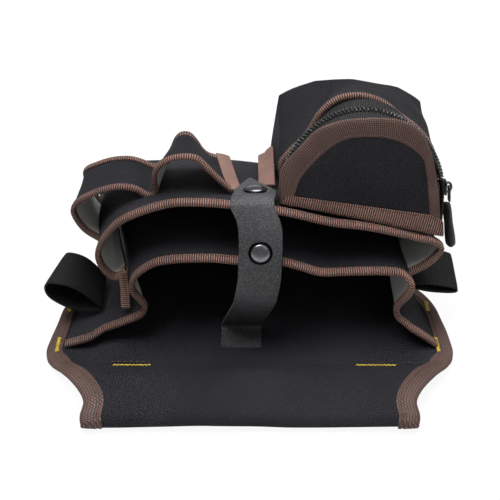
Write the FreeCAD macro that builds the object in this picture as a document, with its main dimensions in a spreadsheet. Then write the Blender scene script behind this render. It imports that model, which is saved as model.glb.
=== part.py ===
import FreeCAD, Part
import math
import os
import re
import Sketcher

# Electrician's waist tool pouch, lying on its back panel, in millimetres.
# X runs across the pouch, Y from the belt edge to the foot of the pouch, Z out of its front.
# The origin is the middle of the floor that it lies on.

Vector = FreeCAD.Vector
Rotation = FreeCAD.Rotation
Placement = FreeCAD.Placement

doc = FreeCAD.newDocument("ToolPouch")
sheet = doc.addObject("Spreadsheet::Sheet", "Sizes")

# ---------------------------------------------------------------- driving dimensions

SIZES = [
    # cloth, tape and seams
    ("fabric", 1.2), ("tape_skin", 0.7), ("seam_gap", 0.2), ("lip_thickness", 3.2), ("lip_width", 5.5),
    ("seam_tail", 24),
    # back panel, seen from the front
    ("panel_length", 226), ("belt_edge_half", 96), ("shoulder_half", 125), ("shoulder_y", 62),
    ("foot_half", 110), ("foot_corner_half", 92), ("foot_corner_y", 26), ("edge_tape_width", 12.5),
    ("foam", 2.0),
    # belt tunnel
    ("tunnel_end", 49), ("tunnel_rise", 6.6),
    # stations along the pockets
    ("main_mouth_y", 70), ("second_mouth_y", 82), ("middle_y", 172), ("pocket_end_y", 209.5),
    ("middle_share", 0.6), ("main_middle_reach", 0.68), ("main_foot_reach", 0.27),
    ("second_middle_reach", 0.75), ("second_foot_reach", 0.36),
    # main pocket mouth
    ("main_seam_half", 112), ("main_crease_left_x", -61), ("main_crease_left_z", 35),
    ("main_corner_left_x", -72), ("main_corner_left_z", 57), ("main_shoulder_left_x", -55),
    ("main_shoulder_left_z", 69), ("main_crown_x", -5), ("main_crown_z", 69.5), ("main_dip_x", 45),
    ("main_dip_z", 61.5), ("main_shoulder_right_x", 88), ("main_shoulder_right_z", 60),
    ("main_corner_right_x", 96), ("main_corner_right_z", 53), ("main_crease_right_x", 88),
    ("main_crease_right_z", 30),
    # second pocket mouth
    ("second_crease_left_x", -91), ("second_crease_left_z", 62), ("second_corner_left_x", -85),
    ("second_corner_left_z", 77), ("second_shoulder_left_x", -57), ("second_shoulder_left_z", 95),
    ("second_rise_x", -35), ("second_rise_z", 99.5), ("second_crown_x", -5), ("second_crown_z", 98.5),
    ("second_ridge_x", 20), ("second_ridge_z", 93.5), ("second_shoulder_right_x", 106),
    ("second_shoulder_right_z", 74), ("second_corner_right_x", 114), ("second_corner_right_z", 68),
    ("second_crease_right_x", 109), ("second_crease_right_z", 54),
    # half widths of the pockets at the foot of the pouch
    ("foot_seam_half", 96), ("foot_crease_half", 90), ("foot_main_half", 93), ("foot_shoulder_half", 84),
    ("foot_bulge_half", 103), ("foot_second_half", 99),
    # tool loop band
    ("band_y", 102), ("band_reach", 48.5), ("band_slope", 13.5), ("band_z", 91.5), ("band_lip", 2.6),
    ("band_start_x", -93.4), ("loop_one_left_x", -105.8), ("loop_one_top", 6.6), ("pinch_x", -60),
    ("pinch_half", 3.4), ("loop_two_top", 26.4), ("loop_two_x", -40), ("band_end_x", -11),
    # zip pouch
    ("zip_x", 65.5), ("zip_y", 89), ("zip_z", 85.2), ("zip_lean", 16), ("hinge_tilt", 12.4),
    ("lid_radius", 48), ("lid_centre", 11), ("lid_border", 9.5), ("lid_base_border", 6), ("lid_raise", 1.0),
    ("lid_panel_thickness", 1.4), ("lid_tape_thickness", 3.0), ("coil_radius", 47.5), ("coil_centre", 14),
    ("coil_wire", 1.1), ("coil_middle", 8.6), ("coil_spacing", 3.4), ("zip_tape", 0.8),
    ("zip_tape_start", 2.0), ("zip_tape_end", 15.0), ("park_angle", 4), ("park_span", 8.5),
    ("left_stop_angle", 170), ("arch_radius", 45), ("arch_centre", 20), ("pouch_base_gap", 2.2),
    ("pouch_depth", 84), ("pouch_far_half", 42), ("pouch_far_left", 50), ("pouch_far_right", 48),
    ("pouch_far_corner", 50), ("pouch_far_top", 64), ("side_tape_width", 8),
    # slider and puller
    ("slider_length", 9), ("slider_width", 8), ("slider_plate", 1.2), ("slider_gap", 0.4),
    ("slider_neck", 0.6), ("bail_height", 3.2), ("bail_wire", 1.1), ("link_length", 9), ("link_wire", 1.3),
    ("tab_length", 29), ("tab_width", 6), ("tab_thickness", 2.8), ("pin_clearance", 0.05),
    # closing strap
    ("strap_width", 25), ("strap_x", 3), ("strap_foot_x", -6), ("strap_middle_x", 6),
    ("strap_thickness", 1.6), ("strap_foot_y", 60), ("strap_foot_length", 13.5),
    ("strap_bend_y", 84.5), ("strap_bend_z", 102.6),
    ("strap_tip_length", 38), ("strap_tip_point", 21), ("strap_tip_shift", 3), ("strap_tip_slope", 15.4),
    # snaps
    ("snap_reach", 15.5), ("snap_middle_share", 0.78), ("snap_cap_radius", 7), ("snap_cap_height", 1.9),
    ("snap_post_radius", 1.8),
    ("snap_socket_radius", 6), ("snap_socket_height", 1.9), ("snap_cavity_radius", 4.4),
    ("stud_radius", 2.1), ("stud_height", 1.5), ("stud_flange_radius", 5), ("stud_flange_height", 0.6),
    # side webbing loops
    ("webbing", 1.6), ("webbing_width", 30), ("webbing_y", 86), ("left_loop_height", 20),
    ("right_loop_height", 5.5), ("left_root_share", 0.3627451), ("left_root_lift", 2.7980392),
    ("left_loop_reach", 33.9), ("left_tip_lift", 15.3), ("right_root_out", 6.2), ("right_root_up", 8),
    ("right_loop_reach", 33.2), ("right_tip_drop", 4.5), ("right_loop_rise", 4.2),
    # bartacks
    ("tack_height", 0.5), ("tack_width", 1.4), ("tack_length", 25), ("tack_x", 75), ("tack_short", 9),
    ("loop_tack_y", 98),
]

for row, (alias, number) in enumerate(SIZES, start=1):
    sheet.set("A%d" % row, alias)
    sheet.set("B%d" % row, str(number))
    sheet.setAlias("B%d" % row, alias)
doc.recompute()

WORD = re.compile(r"\b(%s)\b" % "|".join(alias for alias, number in SIZES))
reader = doc.addObject("Part::Feature", "Reader")

# levels that several pieces share
PANEL_TOP = "(tape_skin + 2 * fabric + foam)"
LIFT = "(tape_skin + seam_gap + fabric / 2)"


def bound(text):
    """The expression with every size named in it taken from the sheet."""
    return WORD.sub(r"Sizes.\1", str(text))


def value(text):
    """The number that an expression gives now."""
    return float(reader.evalExpression(bound(text)))


def along(text):
    """Distance from the belt edge, as a Y coordinate of the part."""
    return "(%s) - panel_length / 2" % text


# ---------------------------------------------------------------- sketches and solids

def new_body(label):
    body = doc.addObject("PartDesign::Body", label)
    body.Label = label
    return body


def new_sketch(body, name, plane, offset):
    """A sketch in one of the body's own origin planes, moved along that plane's axis."""
    sketch = body.newObject("Sketcher::SketchObject", name)
    origin_plane = [item for item in body.Origin.OriginFeatures if item.Role == plane][0]
    sketch.AttachmentSupport = (origin_plane, "")
    sketch.MapMode = "FlatFace"
    sign = "-1 * " if plane == "XZ_Plane" else ""
    sketch.setExpression(".AttachmentOffset.Base.z", bound("%s(%s)" % (sign, offset)))
    return sketch


def pin_along(sketch, kind, geometry, end, text):
    """Hold one point of the sketch at a bound distance from the sketch's origin."""
    index = sketch.addConstraint(Sketcher.Constraint(kind, -1, 1, geometry, end, value(text)))
    sketch.setExpression("Constraints[%d]" % index, bound(text))


def pin_point(sketch, geometry, end, point):
    """Hold one point of the sketch at two bound coordinates."""
    pin_along(sketch, "DistanceX", geometry, end, point[0])
    pin_along(sketch, "DistanceY", geometry, end, point[1])


def add_outline(sketch, points):
    """A closed outline of straight lines with every corner bound to the sheet."""
    first = sketch.GeometryCount
    count = len(points)
    places = [Vector(value(x), value(z), 0) for x, z in points]
    for index in range(count):
        sketch.addGeometry(Part.LineSegment(places[index], places[(index + 1) % count]))
    for index in range(count):
        following = first + (index + 1) % count
        sketch.addConstraint(Sketcher.Constraint("Coincident", first + index, 2, following, 1))
    for index in range(count):
        pin_point(sketch, first + index, 1, points[index])


def pad(body, sketch, length, reverse=False, middle=False):
    feature = body.newObject("PartDesign::Pad", sketch.Name + "Pad")
    feature.Profile = sketch
    feature.setExpression("Length", bound(length))
    feature.Reversed = reverse
    feature.Midplane = middle
    sketch.Visibility = False
    return feature


def outline_body(label, plane, offset, points, length, reverse=False, middle=False):
    """One outline, drawn in a plane and padded."""
    body = new_body(label)
    sketch = new_sketch(body, label + "_outline", plane, offset)
    add_outline(sketch, points)
    pad(body, sketch, length, reverse, middle)
    return body


def lofted_body(label, stations):
    """Straight-ruled cloth between the same outline at several stations along Y."""
    body = new_body(label)
    sketches = []
    for number, (station, points) in enumerate(stations):
        sketch = new_sketch(body, "%s_section_%d" % (label, number), "XZ_Plane", along(station))
        add_outline(sketch, points)
        sketches.append(sketch)
    loft = body.newObject("PartDesign::AdditiveLoft", label + "_loft")
    loft.Profile = sketches[0]
    loft.Sections = sketches[1:]
    loft.Ruled = True
    return body


def boolean(kind, label, base, tool):
    result = doc.addObject("Part::" + kind, label)
    result.Base = base
    result.Tool = tool
    result.Label = label
    return result


def miters(points, closed=False):
    """Left-hand normals at each corner, as long as an even thickness needs."""
    flat = [Vector(value(x), value(z), 0) for x, z in points]
    count = len(flat)
    normals = []
    for index in range(count):
        before = flat[index] - flat[index - 1] if index > 0 or closed else None
        after = flat[(index + 1) % count] - flat[index] if index < count - 1 or closed else None
        sides = []
        for run in (before, after):
            if run is not None:
                sides.append(Vector(-run.y, run.x, 0).normalize())
        total = Vector(0, 0, 0)
        for side in sides:
            total = total + side
        total.normalize()
        stretch = 1 / max(total.dot(sides[0]), 0.62)
        normals.append((total.x * stretch, total.y * stretch))
    return normals


def moved(points, normals, amount):
    result = []
    for (x, z), (across, up) in zip(points, normals):
        result.append(("%s + %.5f * (%s)" % (x, across, amount), "%s + %.5f * (%s)" % (z, up, amount)))
    return result


def thick(points, normals, thickness):
    """The closed outline of a sheet whose middle follows the points."""
    outer = moved(points, normals, "%s / 2" % thickness)
    inner = moved(points, normals, "-1 * %s / 2" % thickness)
    return outer + inner[::-1]


# ---------------------------------------------------------------- back panel

# The outline's right half: how far out between belt edge and shoulder, and how far along.
FLARE = [(0, 0), (0, 0.19), (0.17, 0.39), (0.52, 0.61), (0.86, 0.81), (1, 0.98), (1, 1.18)]


def panel_outline():
    """Outer edge of the edge tape, once round, from the belt edge's right end."""
    right = []
    for out, share in FLARE:
        right.append(("belt_edge_half + %s * (shoulder_half - belt_edge_half)" % out,
                      along("%s * shoulder_y" % share)))
    right.append(("shoulder_half - 0.4 * (shoulder_half - foot_half)", along("1.9 * shoulder_y")))
    right.append(("foot_half", along("panel_length - foot_corner_y")))
    right.append(("foot_half - 0.3 * (foot_half - foot_corner_half)",
                  along("panel_length - 0.3 * foot_corner_y")))
    right.append(("foot_corner_half", along("panel_length")))
    left = [("-1 * (%s)" % x, y) for x, y in right[::-1]]
    return right + left


def panel_blank(label, inset):
    """An upright block with the panel's outline, taken in by an amount."""
    points = panel_outline()
    return outline_body(label, "XY_Plane", "-1", moved(points, miters(points, True), inset), "tunnel_rise * 4")


def side_profile(label, points):
    """A block across the pouch with a side profile given in Y and Z."""
    return outline_body(label, "YZ_Plane", "0", points, "shoulder_half * 3", middle=True)


def tunnel_fold(spread):
    """Side profile of the face cloth: flat, over the belt tunnel, and folded back under it."""
    top = "%s + %s" % (PANEL_TOP, spread)
    low = "tape_skin - %s" % spread
    outer = [(along("panel_length"), top), (along("tunnel_end"), top),
             (along("tunnel_end - 7"), "%s + 0.62 * tunnel_rise" % top),
             (along("tunnel_end - 20"), "%s + tunnel_rise" % top),
             (along("13"), "%s + 0.92 * tunnel_rise" % top),
             (along("tape_skin + 3 - %s" % spread), "%s + 0.5 * tunnel_rise" % top),
             (along("tape_skin - %s" % spread), "%s - 0.25 * foam" % PANEL_TOP),
             (along("tape_skin + 3 - %s" % spread), "%s + 0.6" % low),
             (along("8"), low)]
    return outer


def face_profile(spread):
    """The face cloth's closed side profile, thicker by spread on each side."""
    outer = tunnel_fold(spread)
    inside_top = "%s - fabric - %s" % (PANEL_TOP, spread)
    inside_low = "tape_skin + fabric + %s" % spread
    skin = "(fabric + %s)" % spread
    inner = [(along("tunnel_end"), low_end(spread)), (along("tunnel_end"), inside_low),
             (along("8.5"), inside_low), (along("tape_skin + 3.2 + %s" % skin), "%s + 0.5" % inside_low),
             (along("tape_skin + %s" % skin), "%s - 0.25 * foam" % PANEL_TOP),
             (along("tape_skin + 3.6 + %s" % skin), "%s + 0.5 * tunnel_rise - 0.4" % inside_top),
             (along("13.5"), "%s + 0.92 * tunnel_rise" % inside_top),
             (along("tunnel_end - 20.3"), "%s + tunnel_rise" % inside_top),
             (along("tunnel_end - 7.6"), "%s + 0.62 * tunnel_rise" % inside_top),
             (along("tunnel_end + 0.4"), inside_top), (along("panel_length"), inside_top)]
    return outer + inner


def low_end(spread):
    return "tape_skin - %s" % spread


face_blank = panel_blank("face_blank", "tape_skin")
face_side = side_profile("face_side", face_profile("0"))
back_panel_face = boolean("Common", "back_panel_face", face_blank, face_side)


def flat_layer(label, start, low, high):
    """A flat layer of the panel, from a distance along it to its foot."""
    blank = panel_blank(label + "_blank", "tape_skin")
    points = [(along(start), low), (along("panel_length"), low), (along("panel_length"), high),
              (along(start), high)]
    return boolean("Common", label, blank, side_profile(label + "_side", points))


back_panel_foam = flat_layer("back_panel_foam", "tunnel_end + 2", "tape_skin + fabric",
                             "tape_skin + fabric + foam")
back_panel_lining = flat_layer("back_panel_lining", "tunnel_end", "tape_skin", "tape_skin + fabric")


def edge_ring():
    """The tape's outline seen from the front. It leaves out the belt edge, where the face cloth folds bare."""
    points = panel_outline()
    inner = moved(points, miters(points, True), "edge_tape_width")
    beyond = along("-1 * edge_tape_width")
    inner[0] = (inner[0][0], beyond)
    inner[-1] = (inner[-1][0], beyond)
    whole = outline_body("edge_whole", "XY_Plane", "-1", points, "tunnel_rise * 4")
    opening = outline_body("edge_opening", "XY_Plane", "-2", inner, "tunnel_rise * 4 + 2")
    return boolean("Cut", "edge_ring", whole, opening)


def edge_tape():
    """The tape folded over the panel's sides and foot: a ring, less the panel inside it."""
    ring = edge_ring()
    flat_part = [(along("tunnel_end"), "0"), (along("panel_length"), "0"),
                 (along("panel_length"), "%s + tape_skin" % PANEL_TOP),
                 (along("tunnel_end"), "%s + tape_skin" % PANEL_TOP)]
    flat_block = side_profile("edge_flat_side", flat_part)
    fold_block = side_profile("edge_fold_side", face_profile("tape_skin"))
    sides = boolean("Fuse", "edge_sides", flat_block, fold_block)
    band = boolean("Common", "edge_band", ring, sides)
    inner = panel_blank("edge_inner_blank", "tape_skin")
    core_points = [(along("tunnel_end"), "tape_skin"), (along("panel_length"), "tape_skin"),
                   (along("panel_length"), PANEL_TOP), (along("tunnel_end"), PANEL_TOP)]
    core_block = side_profile("edge_core_side", core_points)
    cloth_block = side_profile("edge_cloth_side", face_profile("0"))
    cores = boolean("Fuse", "edge_cores", core_block, cloth_block)
    filled = boolean("Common", "edge_filled", inner, cores)
    return boolean("Cut", "edge_tape", band, filled)


edge_tape_piece = edge_tape()

# ---------------------------------------------------------------- pockets

STATIONS = ("mouth", "middle", "foot")


def between(mouth, foot, station):
    """A width that goes from its mouth value to its value at the foot of the pouch."""
    if station == "mouth":
        return mouth
    if station == "middle":
        return "((1 - middle_share) * (%s) + middle_share * (%s))" % (mouth, foot)
    return foot


def height(pocket, mouth, station):
    """A height over the panel that shrinks along the pocket."""
    if station == "mouth":
        return mouth
    return "(%s + %s_%s_reach * (%s - %s))" % (PANEL_TOP, pocket, station, mouth, PANEL_TOP)


def main_points(station, lift=LIFT):
    """Middle line of the main pocket's cloth, from the left seam over the top to the right."""
    seam = "(%s + %s)" % (PANEL_TOP, lift)

    def spot(name, foot):
        return (between("main_%s_x" % name, foot, station), height("main", "main_%s_z" % name, station))

    return [(between("-1 * main_seam_half", "-1 * foot_seam_half", station), seam),
            spot("crease_left", "-1 * foot_crease_half"), spot("corner_left", "-1 * foot_main_half"),
            spot("shoulder_left", "-1 * foot_shoulder_half"), spot("crown", "main_crown_x"),
            spot("dip", "main_dip_x"), spot("shoulder_right", "foot_shoulder_half"),
            spot("corner_right", "foot_main_half"), spot("crease_right", "foot_crease_half"),
            (between("main_seam_half", "foot_seam_half", station), seam)]


def second_points(station, half):
    """Middle line of the second pocket's cloth. Its seams lie on the main pocket's corners."""
    main = main_points(station)
    clear = "(fabric / 2 + seam_gap + 0.2 + %s)" % half
    drop = "(2.5 * fabric)"

    def spot(name, foot):
        return (between("second_%s_x" % name, foot, station), height("second", "second_%s_z" % name, station))

    return [("%s - %s" % (main[2][0], clear), "%s - %s" % (main[2][1], drop)),
            spot("crease_left", "-1 * foot_bulge_half"), spot("corner_left", "-1 * foot_second_half"),
            spot("shoulder_left", "-1 * foot_shoulder_half"), spot("rise", "second_rise_x"),
            spot("crown", "second_crown_x"), spot("ridge", "second_ridge_x"),
            spot("shoulder_right", "foot_shoulder_half"), spot("corner_right", "foot_second_half"),
            spot("crease_right", "foot_bulge_half"),
            ("%s + %s" % (main[7][0], clear), "%s - %s" % (main[7][1], drop))]


def pocket_normals(points, seam_up):
    """Normals of a pocket's outline, with both seam ends cut upright."""
    normals = miters(points)
    normals[0] = (0, seam_up)
    normals[-1] = (0, seam_up)
    return normals


def station_y(pocket, station):
    if station == "mouth":
        return "%s_mouth_y + lip_width" % pocket
    if station == "middle":
        return "middle_y"
    return "pocket_end_y"


def pocket_cloth(label, pocket, outline, seam_up, first, last):
    """The cloth between two corners of the pocket's outline, along the whole pocket."""
    stations = []
    for station in STATIONS:
        points = outline(station)
        normals = pocket_normals(points, seam_up)
        piece = thick(points[first:last + 1], normals[first:last + 1], "fabric")
        stations.append((station_y(pocket, station), piece))
    return lofted_body(label, stations)


def add_foot_wall(body, outline, first, last, floor, seam_up):
    """The front cloth's turned-down foot, closing the pocket."""
    points = outline("foot")
    normals = pocket_normals(points, seam_up)
    top = moved(points[first:last + 1], normals[first:last + 1], "fabric / 2")
    sketch = new_sketch(body, body.Label + "_foot", "XZ_Plane", along("pocket_end_y - fabric"))
    add_outline(sketch, top + floor)
    pad(body, sketch, "fabric", reverse=True)


def pocket_lip(label, pocket, points, seam_up):
    """The tape folded over a pocket's mouth, from seam to seam."""
    piece = thick(points, pocket_normals(points, seam_up), "lip_thickness")
    return outline_body(label, "XZ_Plane", along("%s_mouth_y" % pocket), piece, "lip_width", reverse=True)


def second_cloth_points(station):
    return second_points(station, "0")


main_pocket_front = pocket_cloth("main_pocket_front", "main", main_points, 1, 2, 7)
floor_line = "(%s + seam_gap)" % PANEL_TOP
add_foot_wall(main_pocket_front, main_points, 2, 7,
              [("foot_main_half", floor_line), ("-1 * foot_main_half", floor_line)], 1)
main_gussets = {}
for side_name, first, last in (("left", 0, 2), ("right", 7, 9)):
    blank = pocket_cloth("main_gusset_%s_blank" % side_name, "main", main_points, 1, first, last)
    main_gussets[side_name] = boolean("Cut", "main_gusset_" + side_name, blank, main_pocket_front)
lip_lift = "(tape_skin + seam_gap + lip_thickness / 2)"
pocket_lip("main_pocket_lip", "main", main_points("mouth", lip_lift), 1)

second_pocket_front = pocket_cloth("second_pocket_front", "second", second_cloth_points, -1, 2, 8)
foot_main = main_points("foot")
foot_main_top = moved(foot_main[2:8], pocket_normals(foot_main, 1)[2:8], "1.4 * fabric + seam_gap")
add_foot_wall(second_pocket_front, second_cloth_points, 2, 8, foot_main_top[::-1], -1)
for side_name, first, last in (("left", 0, 2), ("right", 8, 10)):
    blank = pocket_cloth("second_gusset_%s_blank" % side_name, "second", second_cloth_points, -1, first, last)
    fitted = boolean("Cut", "second_gusset_%s_fitted" % side_name, blank, second_pocket_front)
    boolean("Cut", "second_gusset_" + side_name, fitted, main_gussets[side_name])
second_lip_points = second_points("mouth", "lip_thickness / 2")
pocket_lip("second_pocket_lip", "second", second_lip_points, -1)

# The loose end of the left seam's tape, hanging from the second pocket's mouth.
seam_x, seam_z = second_points("mouth", "0")[0]
tape_top = "%s - fabric / 2 - 3 * seam_gap" % seam_z
tape_foot = "%s - seam_tail" % tape_top
tail = [("%s - 1.8" % seam_x, tape_top), ("%s - 5.2" % seam_x, tape_top),
        ("%s - 4.6" % seam_x, tape_foot), ("%s - 1.6" % seam_x, tape_foot)]
tail_y = along("second_mouth_y + lip_width + 0.5")
outline_body("seam_tape_end", "XZ_Plane", tail_y, tail, "lip_width", reverse=True)


def second_front_top(x, y):
    """Height of the second pocket's front, between its crown and its ridge."""
    edge = "(%s)" % station_y("second", "mouth")
    share = "(((%s) - %s) / (middle_y - %s))" % (y, edge, edge)
    levels = []
    for name in ("crown", "ridge"):
        size = "second_%s_z" % name
        levels.append("(%s + %s * (%s - %s))" % (size, share, height("second", size, "middle"), size))
    part = "(((%s) - second_crown_x) / (second_ridge_x - second_crown_x))" % x
    return "(%s + %s * (%s - %s) + 0.55 * fabric)" % (levels[0], part, levels[1], levels[0])


# ---------------------------------------------------------------- tool loop band


def band_points(distance):
    """Middle line of the band's two loops, at a distance from its near edge."""
    share = "((%s) / band_reach)" % distance
    left = "(loop_one_left_x - 2 * %s)" % share
    reach = "(pinch_x - pinch_half - %s)" % left
    one = "(loop_one_top * (1 - 0.12 * %s))" % share
    two = "(loop_two_top * (1 - 0.14 * %s))" % share
    lean = "(4.5 * %s)" % share
    shape = [("band_start_x - 4.7 * %s" % share, "-29 + 2 * %s" % share),
             ("%s + 0.12 * %s" % (left, reach), "-23 + 5 * %s" % share),
             ("%s + 0.03 * %s" % (left, reach), "-15.5 + 5 * %s" % share),
             (left, "-9 + 3.5 * %s" % share),
             ("%s + 0.06 * %s" % (left, reach), "-4.4 + 3 * %s" % share),
             ("%s + 0.18 * %s" % (left, reach), "-0.8 + 3 * %s" % share),
             ("%s + 0.37 * %s" % (left, reach), "0.5 * loop_one_top + 1.8 * %s" % share),
             ("%s + 0.59 * %s" % (left, reach), one),
             ("%s + 0.8 * %s" % (left, reach), "0.98 * %s" % one),
             ("pinch_x - pinch_half - 1.2", "0.5 * %s" % one),
             ("pinch_x - pinch_half", "0.9 + 1.1 * %s" % share),
             ("pinch_x + pinch_half", "2.8 + 0.1 * %s" % share),
             ("pinch_x + pinch_half + 1.4", "0.5 * %s" % two),
             ("loop_two_x - 13", "0.74 * %s" % two), ("loop_two_x - 7.5", "0.91 * %s" % two),
             ("loop_two_x", two), ("loop_two_x + 7 - 0.3 * %s" % lean, "0.97 * %s" % two),
             ("loop_two_x + 12.5 - %s" % lean, "0.8 * %s" % two),
             ("loop_two_x + 19.5 - %s" % lean, "0.5 * %s" % two),
             ("loop_two_x + 25.3 - 1.2 * %s" % lean, "8.2 - 2 * %s" % share),
             ("band_end_x - 1.4 * %s" % lean, "5.6 - 1.6 * %s" % share)]
    base = "(band_z - (%s) * tan(band_slope * 1deg))" % distance
    return [(x, "%s + %s" % (base, z)) for x, z in shape]


def band_piece(label, start, end, layer):
    """A stretch of the band's width, drawn by a function of its distance from the near edge."""
    return lofted_body(label, [("band_y + %s" % distance, layer(distance)) for distance in (start, end)])


def band_cloth(distance):
    points = band_points(distance)
    return thick(points, miters(points), "fabric")


def band_tape(distance):
    points = band_points(distance)
    return thick(points, miters(points), "band_lip")


def band_cover(distance):
    points = band_points(distance)
    normals = miters(points)
    top = moved(points, normals, "band_lip / 2 + seam_gap / 2 + tape_skin * 1.5")
    bottom = moved(points, normals, "band_lip / 2 + seam_gap / 2")
    return top[-3:] + bottom[-3:][::-1]


band_piece("tool_loop_near_tape", "0", "lip_width", band_tape)
band_piece("tool_loop_band", "lip_width", "(band_reach - lip_width)", band_cloth)
band_piece("tool_loop_far_tape", "(band_reach - lip_width)", "band_reach", band_tape)
band_piece("tool_loop_end_tape", "0", "band_reach", band_cover)

# ---------------------------------------------------------------- zip pouch

# Its pieces are drawn about the middle of the lid's hinge line: X across, Y into the pouch, Z up the lid.


def pouch_frame():
    """Where the zip pouch's own origin stands, leaning back on the second pocket."""
    place = Vector(value("zip_x"), value(along("zip_y")), value("zip_z"))
    return Placement(place, Rotation(Vector(1, 0, 0), -value("zip_lean")))


def on_pouch(body):
    body.Placement = pouch_frame()
    return body


def base_line(x):
    """Height of the sloping hinge line at a distance across the lid."""
    return "(-1 * (%s) * tan(hinge_tilt * 1deg))" % x


def add_arch(sketch, radius, rise):
    """A lid outline: an arc that meets the sloping hinge line on its left, with a straight right side."""
    r = value(radius)
    middle = value("lid_centre")
    lean = math.tan(math.radians(value("hinge_tilt")))
    drop = value(rise) - middle
    across = (lean * drop - math.sqrt(lean * lean * drop * drop - (1 + lean * lean) * (drop * drop - r * r)))
    left_x = across / (1 + lean * lean)
    left_point = Vector(left_x, value(rise) - lean * left_x, 0)
    right_point = Vector(r, value(rise) - lean * r, 0)
    end_angle = math.atan2(left_point.y - middle, left_point.x)
    circle = Part.Circle(Vector(0, middle, 0), Vector(0, 0, 1), r)
    arc = sketch.addGeometry(Part.ArcOfCircle(circle, 0, end_angle))
    base = sketch.addGeometry(Part.LineSegment(left_point, right_point))
    right = sketch.addGeometry(Part.LineSegment(right_point, Vector(r, middle, 0)))
    for before, after in ((arc, base), (base, right)):
        sketch.addConstraint(Sketcher.Constraint("Coincident", before, 2, after, 1))
    sketch.addConstraint(Sketcher.Constraint("Coincident", right, 2, arc, 1))
    sketch.addConstraint(Sketcher.Constraint("PointOnObject", arc, 3, -2))
    for end in (1, 3):
        pin_along(sketch, "DistanceY", arc, end, "lid_centre")
    index = sketch.addConstraint(Sketcher.Constraint("Radius", arc, r))
    sketch.setExpression("Constraints[%d]" % index, bound(radius))
    index = sketch.addConstraint(Sketcher.Constraint("Angle", base, -math.radians(value("hinge_tilt"))))
    sketch.setExpression("Constraints[%d]" % index, bound("-1 * hinge_tilt * 1deg"))
    pin_point(sketch, base, 2, (radius, "%s + %s" % (base_line(radius), rise)))


def lid_border():
    body = new_body("lid_border_tape")
    sketch = new_sketch(body, "lid_border_outline", "XZ_Plane", "-1 * lid_tape_thickness / 2")
    add_arch(sketch, "lid_radius", "lid_raise")
    add_arch(sketch, "(lid_radius - lid_border)", "(lid_raise + lid_base_border)")
    pad(body, sketch, "lid_tape_thickness", reverse=True)
    return on_pouch(body)


def lid_panel():
    body = new_body("lid_panel")
    sketch = new_sketch(body, "lid_panel_outline", "XZ_Plane", "-1 * lid_panel_thickness / 2")
    add_arch(sketch, "(lid_radius - lid_border)", "(lid_raise + lid_base_border)")
    pad(body, sketch, "lid_panel_thickness", reverse=True)
    return on_pouch(body)


lid_border()
lid_panel()


def arch_placement(depth, start):
    """Turn a round primitive so that it stands about the zip's centre, from a start angle."""
    turn = Rotation(Vector(1, 0, 0), 90) * Rotation(Vector(0, 0, 1), start)
    return pouch_frame() * Placement(Vector(0, depth, value("coil_centre")), turn)


def round_strip(label, radius, thickness, start_depth, end_depth, first, last):
    """A curved strip of tape about the zip's centre, from one angle to another."""
    parts = []
    layers = (("outer", "+ (%s) / 2" % thickness, 0), ("inner", "- (%s) / 2" % thickness, 1))
    for suffix, offset, extra in layers:
        cylinder = doc.addObject("Part::Cylinder", "%s_%s" % (label, suffix))
        cylinder.setExpression("Radius", bound("%s %s" % (radius, offset)))
        cylinder.setExpression("Height", bound("%s - (%s) + %d" % (end_depth, start_depth, 2 * extra)))
        cylinder.setExpression("Angle", bound("%s - (%s) + %d" % (last, first, 2 * extra)))
        cylinder.Placement = arch_placement(value("%s + %d" % (end_depth, extra)), value(first) - extra)
        parts.append(cylinder)
    return boolean("Cut", label, parts[0], parts[1])


def coil(label, depth, first, last):
    """One row of the zip's coil."""
    torus = doc.addObject("Part::Torus", label)
    torus.setExpression("Radius1", bound("coil_radius"))
    torus.setExpression("Radius2", bound("coil_wire"))
    torus.setExpression("Angle3", bound("%s - (%s)" % (last, first)))
    torus.Placement = arch_placement(value(depth), value(first))
    torus.Label = label
    return torus


LID_FROM = "(park_angle + park_span)"
LID_TO = "(left_stop_angle - park_span + 2)"
LID_ROW = "(coil_middle - coil_spacing / 2)"
BODY_ROW = "(coil_middle + coil_spacing / 2)"
coil("zip_coil_lid", LID_ROW, LID_FROM, LID_TO)
coil("zip_coil_pouch", BODY_ROW, LID_FROM, LID_TO)
round_strip("zip_tape_lid", "coil_radius", "zip_tape", "zip_tape_start", "%s - coil_wire" % LID_ROW,
            LID_FROM, LID_TO)
round_strip("zip_tape_pouch", "coil_radius", "zip_tape", "%s + coil_wire" % BODY_ROW, "zip_tape_end",
            LID_FROM, LID_TO)


def zip_end(label, side, first, last, foot):
    """A closed end of the zip, with both rows, fixed beside the lid's hinge line."""
    thickness = "2 * coil_wire"
    strip = round_strip(label + "_round", "coil_radius", thickness, "zip_tape_start", "zip_tape_end",
                        first, last)
    leg = new_body(label + "_leg")
    across = "%d * coil_radius" % side
    leg_top = "coil_centre + 0.01"
    points = [("%s - coil_wire" % across, foot), ("%s + coil_wire" % across, foot),
              ("%s + coil_wire" % across, leg_top), ("%s - coil_wire" % across, leg_top)]
    sketch = new_sketch(leg, label + "_leg_outline", "XZ_Plane", "zip_tape_start")
    add_outline(sketch, points)
    pad(leg, sketch, "zip_tape_end - zip_tape_start", reverse=True)
    on_pouch(leg)
    whole = boolean("Fuse", label + "_whole", strip, leg)
    slot = new_body(label + "_slot")
    slot_left, slot_right = "%s - 2 * coil_radius" % across, "%s + 2 * coil_radius" % across
    slot_low, slot_high = "%s + 3" % foot, "coil_centre + coil_radius * 0.5"
    slot_points = [(slot_left, slot_low), (slot_right, slot_low), (slot_right, slot_high), (slot_left, slot_high)]
    slot_depth = "coil_middle - slider_neck / 2 - 0.35"
    slot_sketch = new_sketch(slot, label + "_slot_outline", "XZ_Plane", slot_depth)
    add_outline(slot_sketch, slot_points)
    pad(slot, slot_sketch, "slider_neck + 0.7", reverse=True)
    on_pouch(slot)
    return boolean("Cut", label, whole, slot)


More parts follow.
